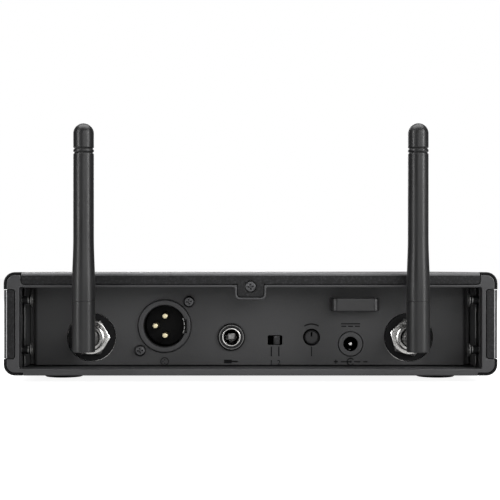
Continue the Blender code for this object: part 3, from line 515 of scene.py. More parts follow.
def join(name, objects):
    """One object from several separate shapes of one piece, such as its printed marks."""
    bm = bmesh.new()
    for obj in objects:
        bm.from_mesh(obj.data)
    mesh = bpy.data.meshes.new(name)
    bm.to_mesh(mesh)
    bm.free()
    for slot in objects[0].material_slots:
        mesh.materials.append(slot.material)
    for obj in objects:
        bpy.data.objects.remove(obj)
    return object_of(name, mesh)


def stands_for(obj, *nodes):
    """The piece rides with the first node's body and hides the nodes."""
    smooth(obj)
    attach(obj, BODY_OF[nodes[0]])
    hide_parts(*nodes)
    return obj


def belongs_to(obj, node):
    """An added detail that rides with a node's body."""
    smooth(obj)
    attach(obj, BODY_OF[node])
    return obj


def refined(node, width, segments=3):
    """A copy of a node's shape with rounded edges."""
    bm = bmesh.new()
    bm.from_mesh(frame["nodes"][node].data)
    bmesh.ops.remove_doubles(bm, verts=bm.verts, dist=1e-6)
    bmesh.ops.dissolve_limit(bm, angle_limit=math.radians(0.5), verts=bm.verts, edges=bm.edges)
    bmesh.ops.triangulate(bm, faces=bm.faces)
    mesh = bpy.data.meshes.new(node)
    bm.to_mesh(mesh)
    bm.free()
    obj = object_of(f"{node}_shell", mesh, SLOT_OF[node])
    bevel(obj, width, segments)
    return stands_for(obj, node)


# Body shell ------------------------------------------------------------------------------------


def dress_shell():
    refined("rear_frame", 0.35 * MM, 4)
    refined("front_frame", 0.8 * MM, 5)
    refined("top_cover", 0.15 * MM, 2)
    refined("bottom_plate", 0.15 * MM, 2)
    refined("rear_panel", 0.15 * MM)
    for side, sign in SIDES.items():
        refined(f"side_panel_{side}", 0.08 * MM, 2)
        for level in ("top", "bottom"):
            refined(f"corner_rail_{level}_{side}", 0.06 * MM, 2)
        make_gutter_lip(side, sign)


def make_gutter_lip(side, sign):
    """The bare, bright lip on the thin wall at the end of the rear panel, broken at a screw."""
    hi = high("rear_panel")
    x = sign * (hi.x - 0.3 * MM)
    heights = {"upper": (18.3 * MM, 31.8 * MM), "lower": (7.2 * MM, 10.6 * MM)}
    for part, (z_low, z_high) in heights.items():
        at = (x, hi.y - 0.1 * MM, (z_low + z_high) / 2)
        outline = rectangle(0.32 * MM, z_high - z_low, 0.12 * MM)
        lip = slab(f"gutter_lip_{part}_{side}", [outline], at, "+Y", 0.25 * MM, "worn_steel")
        bevel(lip, 0.06 * MM, 2)
        belongs_to(lip, "rear_panel")


def make_feet():
    """Rubber feet with a moulded step and a soft lower edge."""
    for end in ("front", "rear"):
        for side in SIDES:
            node = f"foot_{end}_{side}"
            at = Vector((middle(node).x, middle(node).y, 0))
            radius, top = half_width(node), high(node).z
            profile = rounded([
                (0, top, 0),
                (radius, top, 0.15 * MM),
                (radius, 1.0 * MM, 0.5 * MM),
                (radius - 1.3 * MM, 0, 0.7 * MM),
                (radius - 4.0 * MM, 0, 0.2 * MM),
                (radius - 4.3 * MM, 0.4 * MM, 0.1 * MM),
                (0, 0.4 * MM, 0),
            ])
            stands_for(lathe(f"{node}_pad", profile, at, "+Z", "foot_rubber"), node)


SHANK_R = 1.3 * MM
FLANGED_HEAD_H = 4.1 * MM
NUT_SUNK = 0.28 * MM


def cross_recess(reach, arm):
    """The tool that cuts a cross-head recess, with its bottom narrower than its mouth."""
    quarter = [(reach, -arm), (reach, arm), (arm, arm)]
    outline = []
    for turn in range(4):
        spin = Matrix.Rotation(turn * math.pi / 2, 2)
        outline += [tuple(spin @ Vector(p)) for p in quarter]
    tool = slab("recess_tool", [outline], (0, 0, 0), "+Z", reach * 1.6)
    for vertex in tool.data.vertices:
        if vertex.co.z < reach * 0.8:
            vertex.co.x *= 0.45
            vertex.co.y *= 0.45
    return tool


def pan_head(radius, head):
    return [
        (0, 0, 0),
        (radius * 0.76, 0, radius * 0.14),
        (radius * 0.94, -head * 0.4, head * 0.2),
        (radius, -head * 0.72, 0.1 * MM),
        (radius, -head, 0.06 * MM),
    ]


def flanged_head(radius, head):
    """A thin plate at the end, a narrower ring behind it and a plain neck for the collar."""
    ring, neck = 1.9 * MM, SHANK_R
    return [
        (0, 0, 0),
        (radius, 0, 0.15 * MM),
        (radius, -0.45 * MM, 0.1 * MM),
        (neck, -0.45 * MM, 0),
        (neck, -1.2 * MM, 0),
        (ring, -1.2 * MM, 0.12 * MM),
        (ring, -1.8 * MM, 0.12 * MM),
        (neck, -1.8 * MM, 0),
    ]


def make_collar(node, at, axis):
    """The black sleeve between a side screw's end plate and the frame, with room for the ring."""
    outer, slim, inner = 1.75 * MM, 1.5 * MM, 1.33 * MM
    rings = []
    sleeves = ((slim, -0.48 * MM, -1.17 * MM), (outer, -1.83 * MM, -FLANGED_HEAD_H))
    for radius, top, bottom in sleeves:
        profile = tube_profile(radius, inner, top, bottom, 0.1 * MM)
        rings.append(lathe("sleeve", profile, (0, 0, 0), "+Z", "black_plastic", 64, ring=True))
    collar = join(f"{node}_collar", rings)
    collar.data.transform(Matrix.Translation(at) @ AXIS_TURN[axis])
    belongs_to(collar, node)


# Each kind of screw: the shape of its head, and its height
SCREW_KINDS = {
    "cover": (pan_head, 1.0 * MM),
    "xlr": (pan_head, 1.5 * MM),
    "side": (flanged_head, FLANGED_HEAD_H),
}


def make_screw(node, axis):
    """A screw with a tapered cross recess."""
    lo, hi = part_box(node)
    along = {"X": 0, "Y": 1, "Z": 2}[axis[1]]
    across = (along + 1) % 3
    radius = (hi[across] - lo[across]) / 2
    length = hi[along] - lo[along]
    at = middle(node)
    at[along] = hi[along] if axis[0] == "+" else lo[along]
    shape, head = SCREW_KINDS[node.split("_")[0]]
    if shape is flanged_head:
        make_collar(node, at, axis)
    profile = rounded(shape(radius, head) + [
        (SHANK_R, -head, 0),
        (SHANK_R, -length, 0.2 * MM),
        (0, -length, 0),
    ])
    finish = "worn_steel" if shape is flanged_head else "black_screw"
    screw = lathe(f"{node}_body", profile, (0, 0, 0), "+Z", finish, 64)
    reach = radius * 0.66
    tool = cross_recess(reach, radius * 0.16)
    turn = 0.12
    tool.data.transform(Matrix.Translation((0, 0, -reach * 0.9)) @ Matrix.Rotation(turn, 4, "Z"))
    boolean(screw, tool, "DIFFERENCE")
    screw.data.transform(Matrix.Translation(at) @ AXIS_TURN[axis])
    return stands_for(screw, node)


def make_screws():
    make_screw("cover_screw", "+Y")
    make_screw("xlr_screw_upper", "+Y")
    make_screw("xlr_screw_lower", "+Y")
    for side, sign in SIDES.items():
        for level in ("lower", "upper"):
            make_screw(f"side_screw_{level}_{side}", "-X" if sign > 0 else "+X")


# Sockets ---------------------------------------------------------------------------------------


def make_xlr():
    """Three-pin socket: a flanged shell with a rolled rim, an insert and round-ended gold pins."""
    centre = middle("xlr_insert")
    bore = half_width("xlr_insert") + 0.3 * MM
    outer = bore + 2.5 * MM
    front = high("xlr_shell").y
    depth = front - low("xlr_shell").y
    at = on_axis(centre, front)
    ring = rounded([
        (outer, 0, 0.45 * MM),
        (outer, -depth, 0),
        (bore, -depth, 0),
        (bore, -1.4 * MM, 0.1 * MM),
        (bore + 0.35 * MM, 0, 0.2 * MM),
    ])
    shell = lathe("xlr_shell_ring", ring, at, "+Y", "socket_grey", 128, ring=True)
    boolean(shell, make_flange(centre, outer), "UNION")
    notch = slab("notch", [rectangle(1.9 * MM, 6 * MM, 0.3 * MM)], (0, 0, 0), "+Y", 9 * MM)
    notch.data.transform(Matrix.Translation((centre.x - bore, front - 8 * MM, centre.z)))
    boolean(shell, notch, "DIFFERENCE")
    stands_for(shell, "xlr_shell")
    make_latch(centre, bore, front)
    # painted shade: a near-black sleeve inside the shell's bore
    bore_shade = tube_profile(bore - 0.04 * MM, bore - 0.16 * MM, -1.5 * MM, -14 * MM)
    tube = lathe("xlr_bore_painted_shade", bore_shade, at, "+Y", "cavity", 128, ring=True)
    belongs_to(tube, "xlr_shell")
    make_xlr_insert(centre, bore)


def make_latch(centre, bore, front):
    """The spring latch's edge, which shows as a broken bright arc inside the bore."""
    outer, inner = bore - 0.25 * MM, bore - 0.55 * MM
    teeth = []
    width, at = 9, on_axis(centre, front - 4.5 * MM)
    for start in (157, 169, 181, 193):
        band = arc_points(0, 0, outer, start, start + width, 8)
        band += arc_points(0, 0, inner, start + width, start, 8)
        teeth.append(slab("tooth", [band], at, "+Y", 1.5 * MM, "tinned_steel"))
    belongs_to(join("xlr_latch_teeth", teeth), "xlr_shell")


def make_flange(centre, outer):
    """The shell's mounting flange behind the panel."""
    size = 2 * half_width("xlr_shell")
    thickness, behind = 2 * MM, 2.3 * MM
    outlines = [rectangle(size, size, 2 * MM), circle(0, 0, outer - 1.2 * MM)]
    for node in ("xlr_screw_upper", "xlr_screw_lower"):
        offset = middle(node) - centre
        outlines.append(circle(offset.x, offset.z, 1.7 * MM, 32))
    at = on_axis(centre, PANEL_Y - behind - thickness)
    return slab("flange", outlines, at, "+Y", thickness, "socket_grey")


def make_xlr_insert(centre, bore):
    """Insert with a raised collar round each pin and a keyway at the edge."""
    face = high("xlr_insert").y
    thickness = face - low("xlr_insert").y
    pins = [middle(f"xlr_pin_{i}") for i in (1, 2, 3)]
    outlines = [circle(0, 0, bore - 0.1 * MM, 96)]
    outlines += [circle(p.x - centre.x, p.z - centre.z, 1.3 * MM, 32) for p in pins]
    at = on_axis(centre, face - thickness)
    insert = slab("xlr_insert_disc", outlines, at, "+Y", thickness, "black_plastic")
    bevel(insert, 0.12 * MM, 2)
    stands_for(insert, "xlr_insert")
    for i, pin in enumerate(pins):
        node = f"xlr_pin_{i + 1}"
        radius, tip = half_width(node), high(node).y
        length = tip - low(node).y
        outer, inner = radius + 0.65 * MM, radius + 0.08 * MM
        section = tube_profile(outer, inner, 0.5 * MM, 0, 0.15 * MM, 0.1 * MM)
        base = on_axis(pin, face)
        collar = lathe(f"{node}_collar", section, base, "+Y", "black_plastic", 48, ring=True)
        belongs_to(collar, node)
        profile = rounded([
            (0, 0, 0),
            (radius * 0.9, -radius * 0.04, radius * 0.3),
            (radius, -radius * 0.3, radius * 0.15),
            (radius, -length, 0),
            (0, -length, 0),
        ])
        contact = lathe(f"{node}_contact", profile, on_axis(pin, tip), "+Y", "gold_contact", 48)
        stands_for(contact, node)


def knurled_outline(radius, count, depth):
    """A circle with straight-knurl teeth."""
    points = []
    for i in range(count * 4):
        turn = 2 * math.pi * i / (count * 4)
        r = radius - (depth if i % 4 in (2, 3) else 0)
        points.append((r * math.cos(turn), r * math.sin(turn)))
    return points


def make_jack():
    """6.3 mm jack: bright bush, knurled ring nut, spring contacts and a bore darkened by a
    painted-shade sleeve.
    """
    centre = middle("jack_bush")
    at = on_axis(centre, PANEL_Y)
    outer, bore = half_width("jack_bush"), 3.25 * MM
    top, bottom = high("jack_bush").y - PANEL_Y, low("jack_bush").y - PANEL_Y
    profile = rounded([
        (outer, top, 0.3 * MM),
        (outer, bottom, 0),
        (bore, bottom, 0),
        (bore, top - 0.5 * MM, 0.1 * MM),
        (bore + 0.35 * MM, top, 0.15 * MM),
    ])
    stands_for(lathe("jack_bush_sleeve", profile, at, "+Y", "nickel", 96, ring=True), "jack_bush")
    make_ring_nut(centre, outer + 0.12 * MM)
    make_jack_contacts(centre)
    # painted shade: a near-black sleeve down the bore
    bore_shade = tube_profile(bore - 0.02 * MM, bore - 0.14 * MM, top - 1.2 * MM, -22 * MM)
    tube = lathe("jack_bore_painted_shade", bore_shade, at, "+Y", "cavity", 96, ring=True)
    belongs_to(tube, "jack_body")
    refined("jack_body", 0.3 * MM)


def make_ring_nut(centre, bore):
    """A thin black nut, knurled at its edge, with a worn ring on its face."""
    node = "jack_ring_nut"
    radius = half_width(node)
    thickness = high(node).y - low(node).y
    base = on_axis(centre, low(node).y - NUT_SUNK)
    height = thickness * 0.75
    outlines = [knurled_outline(radius, 36, 0.22 * MM), circle(0, 0, bore)]
    nut = slab("jack_nut_knurled", outlines, base, "+Y", height, "ring_black")
    cone = [
        (0, 3 * MM),
        (radius - 0.7 * MM, 3 * MM),
        (radius - 0.7 * MM, height - 0.02 * MM),
        (radius + 0.3 * MM, thickness * 0.3),
        (radius + 0.3 * MM, -1 * MM),
        (0, -1 * MM),
    ]
    boolean(nut, lathe("cone", cone, base, "+Y"), "INTERSECT")
    stands_for(bevel(nut, 0.06 * MM, 2, 25), node)
    proud, edge = height + 0.06 * MM, 0.05 * MM
    ring = tube_profile(radius - 0.72 * MM, radius - MM, proud, height - 0.1 * MM, edge, edge)
    belongs_to(lathe("jack_nut_edge", ring, base, "+Y", "worn_steel", 96, ring=True), node)


def make_leaf(turn, start):
    """A bent spring leaf, from its root deep in the bore to its raised end."""
    path = [(2.75, 7), (2.55, 2.5), (2.15, 1.2), (2.3, 0), (2.75, -1.2)]
    sides = (-1.1 * MM, 1.1 * MM)
    points = [(x, radius * MM, -(start + deep) * MM) for radius, deep in path for x in sides]
    faces = [(i, i + 1, i + 3, i + 2) for i in range(0, len(points) - 2, 2)]
    mesh = bpy.data.meshes.new("leaf")
    mesh.from_pydata(points, [], faces)
    leaf = object_of("leaf", mesh, "tinned_steel")
    solid = leaf.modifiers.new("thickness", "SOLIDIFY")
    solid.thickness = 0.3 * MM
    settle(leaf)
    leaf.data.transform(Matrix.Rotation(turn, 4, "Z"))
    return leaf


def make_jack_contacts(centre):
    """Three spring leaves, and the tip contact that shows at the middle of the bore."""
    leaves = [make_leaf(*place) for place in ((0.0, 9), (math.pi, 13), (math.pi / 2, 16))]
    for leaf in leaves:
        leaf.data.transform(Matrix.Translation(on_axis(centre, PANEL_Y)) @ AXIS_TURN["+Y"])
    outline = rounded([
        (-1.2 * MM, -1.25 * MM, 0.4 * MM),
        (1.2 * MM, -1.25 * MM, 0.4 * MM),
        (1.55 * MM, 1.25 * MM, 0.2 * MM),
        (-1.55 * MM, 1.25 * MM, 0.2 * MM),
    ])
    at = on_axis(centre, PANEL_Y - 12 * MM) - Vector((0, 0, 0.3 * MM))
    plate = slab("plate", [outline], at, "+Y", 0.3 * MM, "tinned_steel")
    stands_for(join("jack_contact_leaves", leaves + [plate]), "jack_contact")


def make_dc_socket():
    """Power inlet: a face flush with the panel, a bore darkened by a painted-shade sleeve and
    floor, a split pin and its spring.
    """
    refined("dc_socket", 0.2 * MM, 3)
    centre = middle("dc_pin")
    radius, tip = half_width("dc_pin"), high("dc_pin").y
    length = tip - low("dc_pin").y
    profile = rounded([
        (0, 0, 0),
        (radius * 0.6, 0, radius * 0.25),
        (radius, -0.6 * MM, 0.3 * MM),
        (radius, -length, 0),
        (0, -length, 0),
    ])
    pin = lathe("dc_pin_contact", profile, on_axis(centre, tip), "+Y", "nickel", 48)
    stands_for(pin, "dc_pin")
    # painted shade: a near-black sleeve and floor inside the bore
    bore, depth, wall = 3.18 * MM, 9.3 * MM, 0.15 * MM
    gap = 0.03 * MM
    sections = [
        tube_profile(bore, bore - wall, -0.35 * MM, -depth),
        tube_profile(bore, 1.4 * MM, -depth - gap, -depth - gap - wall),
    ]
    at = on_axis(centre, PANEL_Y)
    parts = [lathe("bore_shade", section, at, "+Y", "cavity", 64, ring=True) for section in sections]
    belongs_to(join("dc_bore_painted_shade", parts), "dc_socket")
    at = on_axis(centre, PANEL_Y - 6.5 * MM) - Vector((0, 0, 2.7 * MM))
    leaf = [rectangle(1.2 * MM, 4.5 * MM, 0.4 * MM)]
    spring = slab("dc_barrel_spring", leaf, at, "+Z", 0.2 * MM, "tinned_steel")
    belongs_to(spring, "dc_socket")


def make_level_switch():
    """Slider with a ribbed thumb face, in a metal switch frame whose inside is darkened by a
    painted-shade liner.
    """
    node = "level_switch_slider"
    lo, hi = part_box(node)
    centre, size = middle(node), hi - lo
    outline = [rectangle(size.x, size.z, 0.15 * MM)]
    at = on_axis(centre, lo.y)
    slider = slab("level_slider_nub", outline, at, "+Y", size.y, "button_plastic")
    ribs, groove = 5, [rectangle(0.24 * MM, size.z + MM)]
    for i in range(ribs):
        x = centre.x - size.x / 2 + size.x * (i + 0.5) / ribs
        tool = slab("groove", groove, (x, hi.y - 0.4 * MM, centre.z), "+Y", MM)
        boolean(slider, tool, "DIFFERENCE")
    bevel(slider, 0.06 * MM, 2)
    stands_for(slider, node)
    node = "level_switch_body"
    refined(node, 0.12 * MM, 2)
    width, height, depth = 7.0 * MM, 4.25 * MM, 3.7 * MM
    thickness, gap = 0.25 * MM, 0.06 * MM
    # painted shade: a near-black floor and walls inside the switch frame
    outlines = [[rectangle(width, height)]]
    outlines.append([rectangle(width - a, height - a) for a in (gap, gap + 0.3 * MM)])
    back = on_axis(middle(node), high(node).y - depth)
    floor = slab("floor", outlines[0], back - Vector((0, thickness, 0)), "+Y", thickness, "cavity")
    shade_walls = slab("shade_walls", outlines[1], back, "+Y", depth, "cavity")
    belongs_to(join("level_switch_painted_shade", [floor, shade_walls]), node)


def make_squelch():
    """Trimmer shaft: a grey face in a black rim, with a pointer slot from its middle upwards,
    darkened by a painted-shade floor.
    """
    node = "squelch_shaft"
    lo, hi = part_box(node)
    centre = middle(node)
    radius, length = half_width(node), hi.y - lo.y
    rim, sunk, rim_depth = 0.5 * MM, 0.2 * MM, 1.0 * MM
    at = on_axis(centre, hi.y)
    slot = rectangle(0.8 * MM, 3.0 * MM, 0.3 * MM, 0, 1.75 * MM)
    face_r = radius - rim - 0.02 * MM
    profile = rounded([
        (0, -sunk, 0),
        (face_r, -sunk, 0.05 * MM),
        (face_r, -rim_depth, 0),
        (radius, -rim_depth, 0),
        (radius, -length, 0),
        (0, -length, 0),
    ])
    shaft = lathe("squelch_shaft_knob", profile, at, "+Y", "knob_grey", 96)
    edge = tube_profile(radius, radius - rim, 0, -rim_depth, 0.15 * MM, 0.1 * MM)
    ring = lathe("squelch_shaft_rim", edge, at, "+Y", "black_plastic", 96, ring=True)
    bottom = on_axis(centre, hi.y - 0.9 * MM)
    for piece in (shaft, ring):
        boolean(piece, slab("slot", [slot], bottom, "+Y", 2 * MM), "DIFFERENCE")
    stands_for(shaft, node)
    belongs_to(ring, node)
    # painted shade: a near-black floor in the pointer slot
    slot_shade_outline = rectangle(0.78 * MM, 1.9 * MM, 0.3 * MM, 0, 1.22 * MM)
    floor = slab("squelch_slot_painted_shade", [slot_shade_outline], bottom, "+Y", 0.2 * MM, "cavity")
    belongs_to(floor, node)
    refined("squelch_pot_body", 0.15 * MM, 2)


def make_cable_bridge():
    """The lead strap, with soft edges and feet that reach the panel."""
    node = "cable_bridge"
    lo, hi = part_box(node)
    half, wall, bend = half_width(node), 1.8 * MM, 3 * MM
    foot, crown = PANEL_Y - 0.02 * MM, hi.y
    right = [(half, foot, 0), (half, crown, bend)]
    inside = [(half - wall, crown - wall, bend - wall), (half - wall, foot, 0)]
    mirror = [(-u, v, r) for u, v, r in right[::-1] + inside[::-1]]
    outline = rounded(right + mirror + inside, 10)
    at = (middle(node).x, 0, lo.z)
    strap = slab("cable_bridge_strap", [outline], at, "+Z", hi.z - lo.z, "bridge_grey")
    bevel(strap, 0.45 * MM, 4)
    stands_for(strap, node)


# Antennas --------------------------------------------------------------------------------------


def ease(t):
    return t * t * (3 - 2 * t)


def whip_profile(lo, hi, base_r, tip_r, taper_low, taper_high):
    """From the round tip down: two narrow rings, a straight mast, an eased taper, a thin seam."""
    tip, tip_steps, taper_steps = hi - tip_r, 20, 16
    turns = [math.pi / 2 * i / tip_steps for i in range(tip_steps + 1)]
    points = [(tip_r * math.sin(t), tip + tip_r * math.cos(t)) for t in turns]
    depth, half = 0.5 * MM, 0.5 * MM
    for below_top in (10.6 * MM, 12.3 * MM):
        z = hi - below_top
        points += rounded([
            (tip_r, z + 2 * half, 0),
            (tip_r, z + half, 0.12 * MM),
            (tip_r - depth, z, 0.10 * MM),
            (tip_r, z - half, 0.12 * MM),
            (tip_r, z - half - 0.2 * MM, 0),
        ], 4)[1:]
    for i in range(taper_steps + 1):
        t = i / taper_steps
        radius = tip_r + (base_r - tip_r) * ease(t)
        points.append((radius, taper_high + (taper_low - taper_high) * t))
    points += rounded([(base_r, lo + MM, 0), (base_r, lo, 0.12 * MM), (0, lo, 0)], 4)[1:]
    return points


def make_antennas():
    """Each antenna: a rubber whip on an elbow, whose hub turns in the connector."""
    tip_r, hub_r, seam = 4.28 * MM, 3.75 * MM, 0.04 * MM
    for side in SIDES:
        elbow, whip = f"antenna_elbow_{side}", f"antenna_whip_{side}"
        base, top = low(elbow).z, high(elbow).z
        radius = half_width(whip)
        axis = Vector((middle(whip).x, middle(whip).y, 0))
        tapers = top + 4.5 * MM, top + 27 * MM
        profile = whip_profile(top + seam, high(whip).z, radius, tip_r, *tapers)
        mast = lathe(f"{whip}_mast", profile, axis, "+Z", "antenna_rubber", 128)
        stands_for(mast, whip)
        lower = rounded([
            (0, top, 0),
            (radius, top, 0.12 * MM),
            (radius, base, 0.55 * MM),
            (0, base, 0),
        ], 8)
        body = lathe(f"{elbow}_body", lower, axis, "+Z", "antenna_rubber", 128)
        end = low(elbow).y - axis.y
        hub = rounded([(0, 0, 0), (hub_r, 0, 0), (hub_r, end, 0.2 * MM), (0, end, 0)])
        at = Vector((axis.x, axis.y, middle(f"antenna_bushing_{side}").z))
        boolean(body, lathe("hub", hub, at, "+Y", "antenna_rubber", 96), "UNION")
        stands_for(body, elbow)
        make_connector(side, on_axis(at, PANEL_Y))


def make_connector(side, at):
    """Washer, chamfered hex nut and threaded bushing."""
    washer, nut, bushing = (f"antenna_{part}_{side}" for part in ("washer", "nut", "bushing"))
    bore = 5.8 * MM
    top, bottom = high(washer).y - PANEL_Y, low(washer).y - PANEL_Y
    profile = tube_profile(half_width(washer), bore + 0.1 * MM, top, bottom, 0.2 * MM)
    disc = lathe(f"{washer}_disc", profile, at, "+Y", "black_plastic", 128, ring=True)
    stands_for(disc, washer)
    make_nut(nut, side, at, bore)
    top, bottom = high(bushing).y - PANEL_Y, low(bushing).y - PANEL_Y
    flange, flange_top = half_width(bushing), -2.3 * MM
    crest, root, pitch = bore, bore - 0.32 * MM, 0.75 * MM
    thread = [(root - 0.25 * MM, top), (root, top - 0.3 * MM)]
    z = top - 0.5 * MM
    while z > flange_top + pitch:
        turn = ((crest, 0), (crest, 0.15), (root, 0.5), (root, 0.65))
        thread += [(radius, z - pitch * part) for radius, part in turn]
        z -= pitch
    hole, hole_end, tail = 3.95 * MM, -4 * MM, 3 * MM
    profile = [
        (0, hole_end),
        (hole, hole_end),
        (hole, top - 0.4 * MM),
        (hole + 0.4 * MM, top),
    ] + thread + [
        (root, flange_top),
        (flange, flange_top),
        (flange, flange_top - 2 * MM),
        (tail, flange_top - 2 * MM),
        (tail, bottom),
        (0, bottom),
    ]
    stands_for(lathe(f"{bushing}_thread", profile, at, "+Y", "nickel", 128), bushing)


def make_nut(node, side, at, bore):
    """A hex nut whose corners are chamfered where they meet its faces."""
    lo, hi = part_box(node)
    thickness = hi.y - lo.y
    flats = high("antenna_nut_right").z - low("antenna_nut_right").z
    turn = 0 if SIDES[side] > 0 else math.radians(15)
    corners = [turn + math.pi / 3 * i for i in range(6)]
    radius = flats / math.sqrt(3)
    hexagon = [(radius * math.cos(t), radius * math.sin(t)) for t in corners]
    base = on_axis(at, lo.y - NUT_SUNK)
    outlines = [hexagon, circle(0, 0, bore + 0.1 * MM, 96)]
    nut = slab(f"{node}_hex", outlines, base, "+Y", thickness, "nickel")
    inner, outer = flats / 2 - 0.2 * MM, radius + 0.2 * MM
    rise = (radius - inner) * math.tan(math.radians(28))
    spare = 0.01 * MM
    profile = [
        (0, thickness + spare),
        (inner, thickness + spare),
        (outer, thickness - rise),
        (outer, rise),
        (inner, -spare),
        (0, -spare),
    ]
    boolean(nut, lathe("chamfer", profile, base, "+Y", "nickel", 128), "INTERSECT")
    bevel(nut, 0.07 * MM, 2, 20)
    stands_for(nut, node)


# Panel marks -----------------------------------------------------------------------------------


INK_T = 0.06 * MM


def stroke(points, width, closed=False):
    """A flat printed line along points on the rear panel, as a low raised band."""
    left, right = [], []
    count = len(points)
    for i, point in enumerate(points):
        here = Vector(point)
        before = Vector(points[(i - 1) % count if closed else max(i - 1, 0)])
        after = Vector(points[(i + 1) % count if closed else min(i + 1, count - 1)])
        direction = (after - before).normalized()
        normal = Vector((-direction.y, direction.x)) * width / 2
        left.append(tuple(here + normal))
        right.append(tuple(here - normal))
    return [left, right] if closed else [left + right[::-1]]


def arc_points(u, v, radius, start, end, steps=32):
    turns = [math.radians(start + (end - start) * i / steps) for i in range(steps + 1)]
    return [(u + radius * math.cos(t), v + radius * math.sin(t)) for t in turns]


def rear_marks():
    """Low printed marks: switch positions, squelch arc, power symbols and socket symbols."""
    pen = 0.5 * MM
    tick_low, tick_high = BASE + 6.9 * MM, BASE + 11.2 * MM
    switch = middle("level_switch_body").x
    squelch, power = middle("squelch_shaft"), middle("dc_pin")
    ends = switch + 1.6 * MM, switch - 1.7 * MM
    shapes = [stroke([(x, tick_low), (x, tick_high)], pen) for x in ends]
    shapes.append(stroke(arc_points(squelch.x, squelch.z, 5.8 * MM, 57, 123), 0.6 * MM))
    shapes.append(stroke([(squelch.x, tick_low), (squelch.x, tick_high)], pen * 0.8))
    x, z = power.x, BASE + 21.2 * MM
    bars = [(x, z, 4.2 * MM)] + [(x + i * 3 * MM, z - 1.1 * MM, 1.1 * MM) for i in (-1, 0, 1)]
    shapes += [stroke([(x - half, z), (x + half, z)], pen) for x, z, half in bars]
    shapes += polarity_mark(power.x, BASE + 4.5 * MM, pen) + socket_marks(pen)
    pieces = [
        slab(f"mark_{i}", outlines, (0, PANEL_Y, 0), "+Y", INK_T, "ink")
        for i, outlines in enumerate(shapes)
    ]
    pieces += [digit(text, x, BASE + 4 * MM) for text, x in zip("12", ends)]
    belongs_to(join("rear_panel_marks", pieces), "rear_panel")


def polarity_mark(x, z, pen):
    """Positive centre pin: plus, lead, open ring with a dot, lead, minus. Plus is at +X."""
    ring, sign, gap = 1.5 * MM, 0.9 * MM, 2.2 * MM
    plus, minus = x + 6.5 * MM, x - 6.5 * MM
    return [
        stroke([(plus - sign, z), (plus + sign, z)], pen),
        stroke([(plus, z - sign), (plus, z + sign)], pen * 0.99),
        stroke([(x, z), (plus - gap, z)], pen),
        [circle(x, z, 0.5 * MM, 24)],
        stroke(arc_points(x, z, ring, -145, 145), pen),
        stroke([(x - ring, z), (minus + gap, z)], pen),
        stroke([(minus - sign, z), (minus + sign, z)], pen),
    ]


def digit(text, x, z):
    """A small printed digit, right way round when seen from the rear."""
    curve = bpy.data.curves.new("digit", "FONT")
    curve.body = text
    curve.size = 3.2 * MM
    curve.extrude = INK_T / 2
    curve.align_x = "CENTER"
    curve.align_y = "CENTER"
    mesh = mesh_of(curve)
    at = Matrix.Translation((x, PANEL_Y + INK_T / 2, z))
    mesh.transform(at @ Matrix.Rotation(math.pi, 4, "Z") @ Matrix.Rotation(math.pi / 2, 4, "X"))
    return object_of("digit", closed(mesh), "ink")


def socket_marks(pen):
    """Pictograms under the audio sockets: three pins in a ring, and a jack plug."""
    z = BASE + 4.6 * MM
    x = middle("xlr_insert").x
    shapes = [stroke(arc_points(x, z, 1.7 * MM, 0, 360, 40)[:-1], pen * 0.8, closed=True)]
    for du, dv in ((0, 0.75), (0.75, 0), (0, -0.75)):
        shapes.append([circle(x + du * MM, z + dv * MM, 0.27 * MM, 16)])
    x = middle("jack_bush").x
    plug = [
        (3.2, -0.8, 0.2), (3.2, 0.8, 0.2), (-0.2, 0.8, 0.1), (-0.2, 0.35, 0), (-2.4, 0.35, 0),
        (-3.2, 0, 0), (-2.4, -0.35, 0), (-0.2, -0.35, 0), (-0.2, -0.8, 0.1),
    ]
    return shapes + [[rounded([(x + u * MM, z + v * MM, r * MM) for u, v, r in plug], 3)]]


# Front and inside ------------------------------------------------------------------------------


def make_inside():
    """Soft edges on the boards, the screening can and the display module, and smooth leads."""
    for node in ("control_board", "main_board", "display_module", "rf_shield"):
        refined(node, 0.12 * MM, 2)
    for side in SIDES:
        refined(f"antenna_lead_{side}", 0.05 * MM, 1)


def make_front():
    refined("front_fascia", 0.3 * MM)
    refined("display_lens", 0.25 * MM)
    for node in ("power_button", "button_down", "button_up", "button_set"):
        make_button(node)


def make_button(node):
    """A dished button with a soft edge and a generic symbol."""
    lo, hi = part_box(node)
    centre, length = middle(node), hi.y - lo.y
    flange, stem, cap = half_width(node), 1.5 * MM, 4.2 * MM
    radius = flange - 1.2 * MM
    profile = rounded([
        (0, -0.25 * MM, 0),
        (radius * 0.6, -0.22 * MM, 3 * MM),
        (radius - 0.5 * MM, 0, 0.3 * MM),
        (radius, -0.35 * MM, 0.3 * MM),
        (radius, -cap, 0),
        (flange, -cap - 0.3 * MM, 0),
        (flange, -cap - 1.0 * MM, 0),
        (stem, -cap - 1.0 * MM, 0),
        (stem, -length, 0),
        (0, -length, 0),
    ])
    cap = lathe(f"{node}_cap", profile, on_axis(centre, lo.y), "-Y", "button_plastic", 96)
    stands_for(cap, node)
    sunk, thickness = 0.31 * MM, 0.14 * MM
    symbol = join(f"{node}_symbol", [
        slab("symbol", outlines, (0, lo.y + sunk, 0), "-Y", thickness, "pale_ink")
        for outlines in button_symbol(node, centre.x, centre.z)
    ])
    belongs_to(symbol, node)


def button_symbol(node, x, z):
    """Outlines of a power mark, an arrowhead or a dot."""
    if node == "power_button":
        return [
            stroke(arc_points(x, z, 1.7 * MM, 125, 415), 0.4 * MM),
            stroke([(x, z + 0.3 * MM), (x, z + 2.1 * MM)], 0.4 * MM),
        ]
    if node == "button_set":
        return [[circle(x, z, 0.8 * MM, 32)]]
    up = 1 if node == "button_up" else -1
    half, foot = 1.1 * MM, z - up * 0.7 * MM
    return [[[(x - half, foot), (x + half, foot), (x, z + up * MM)]]]


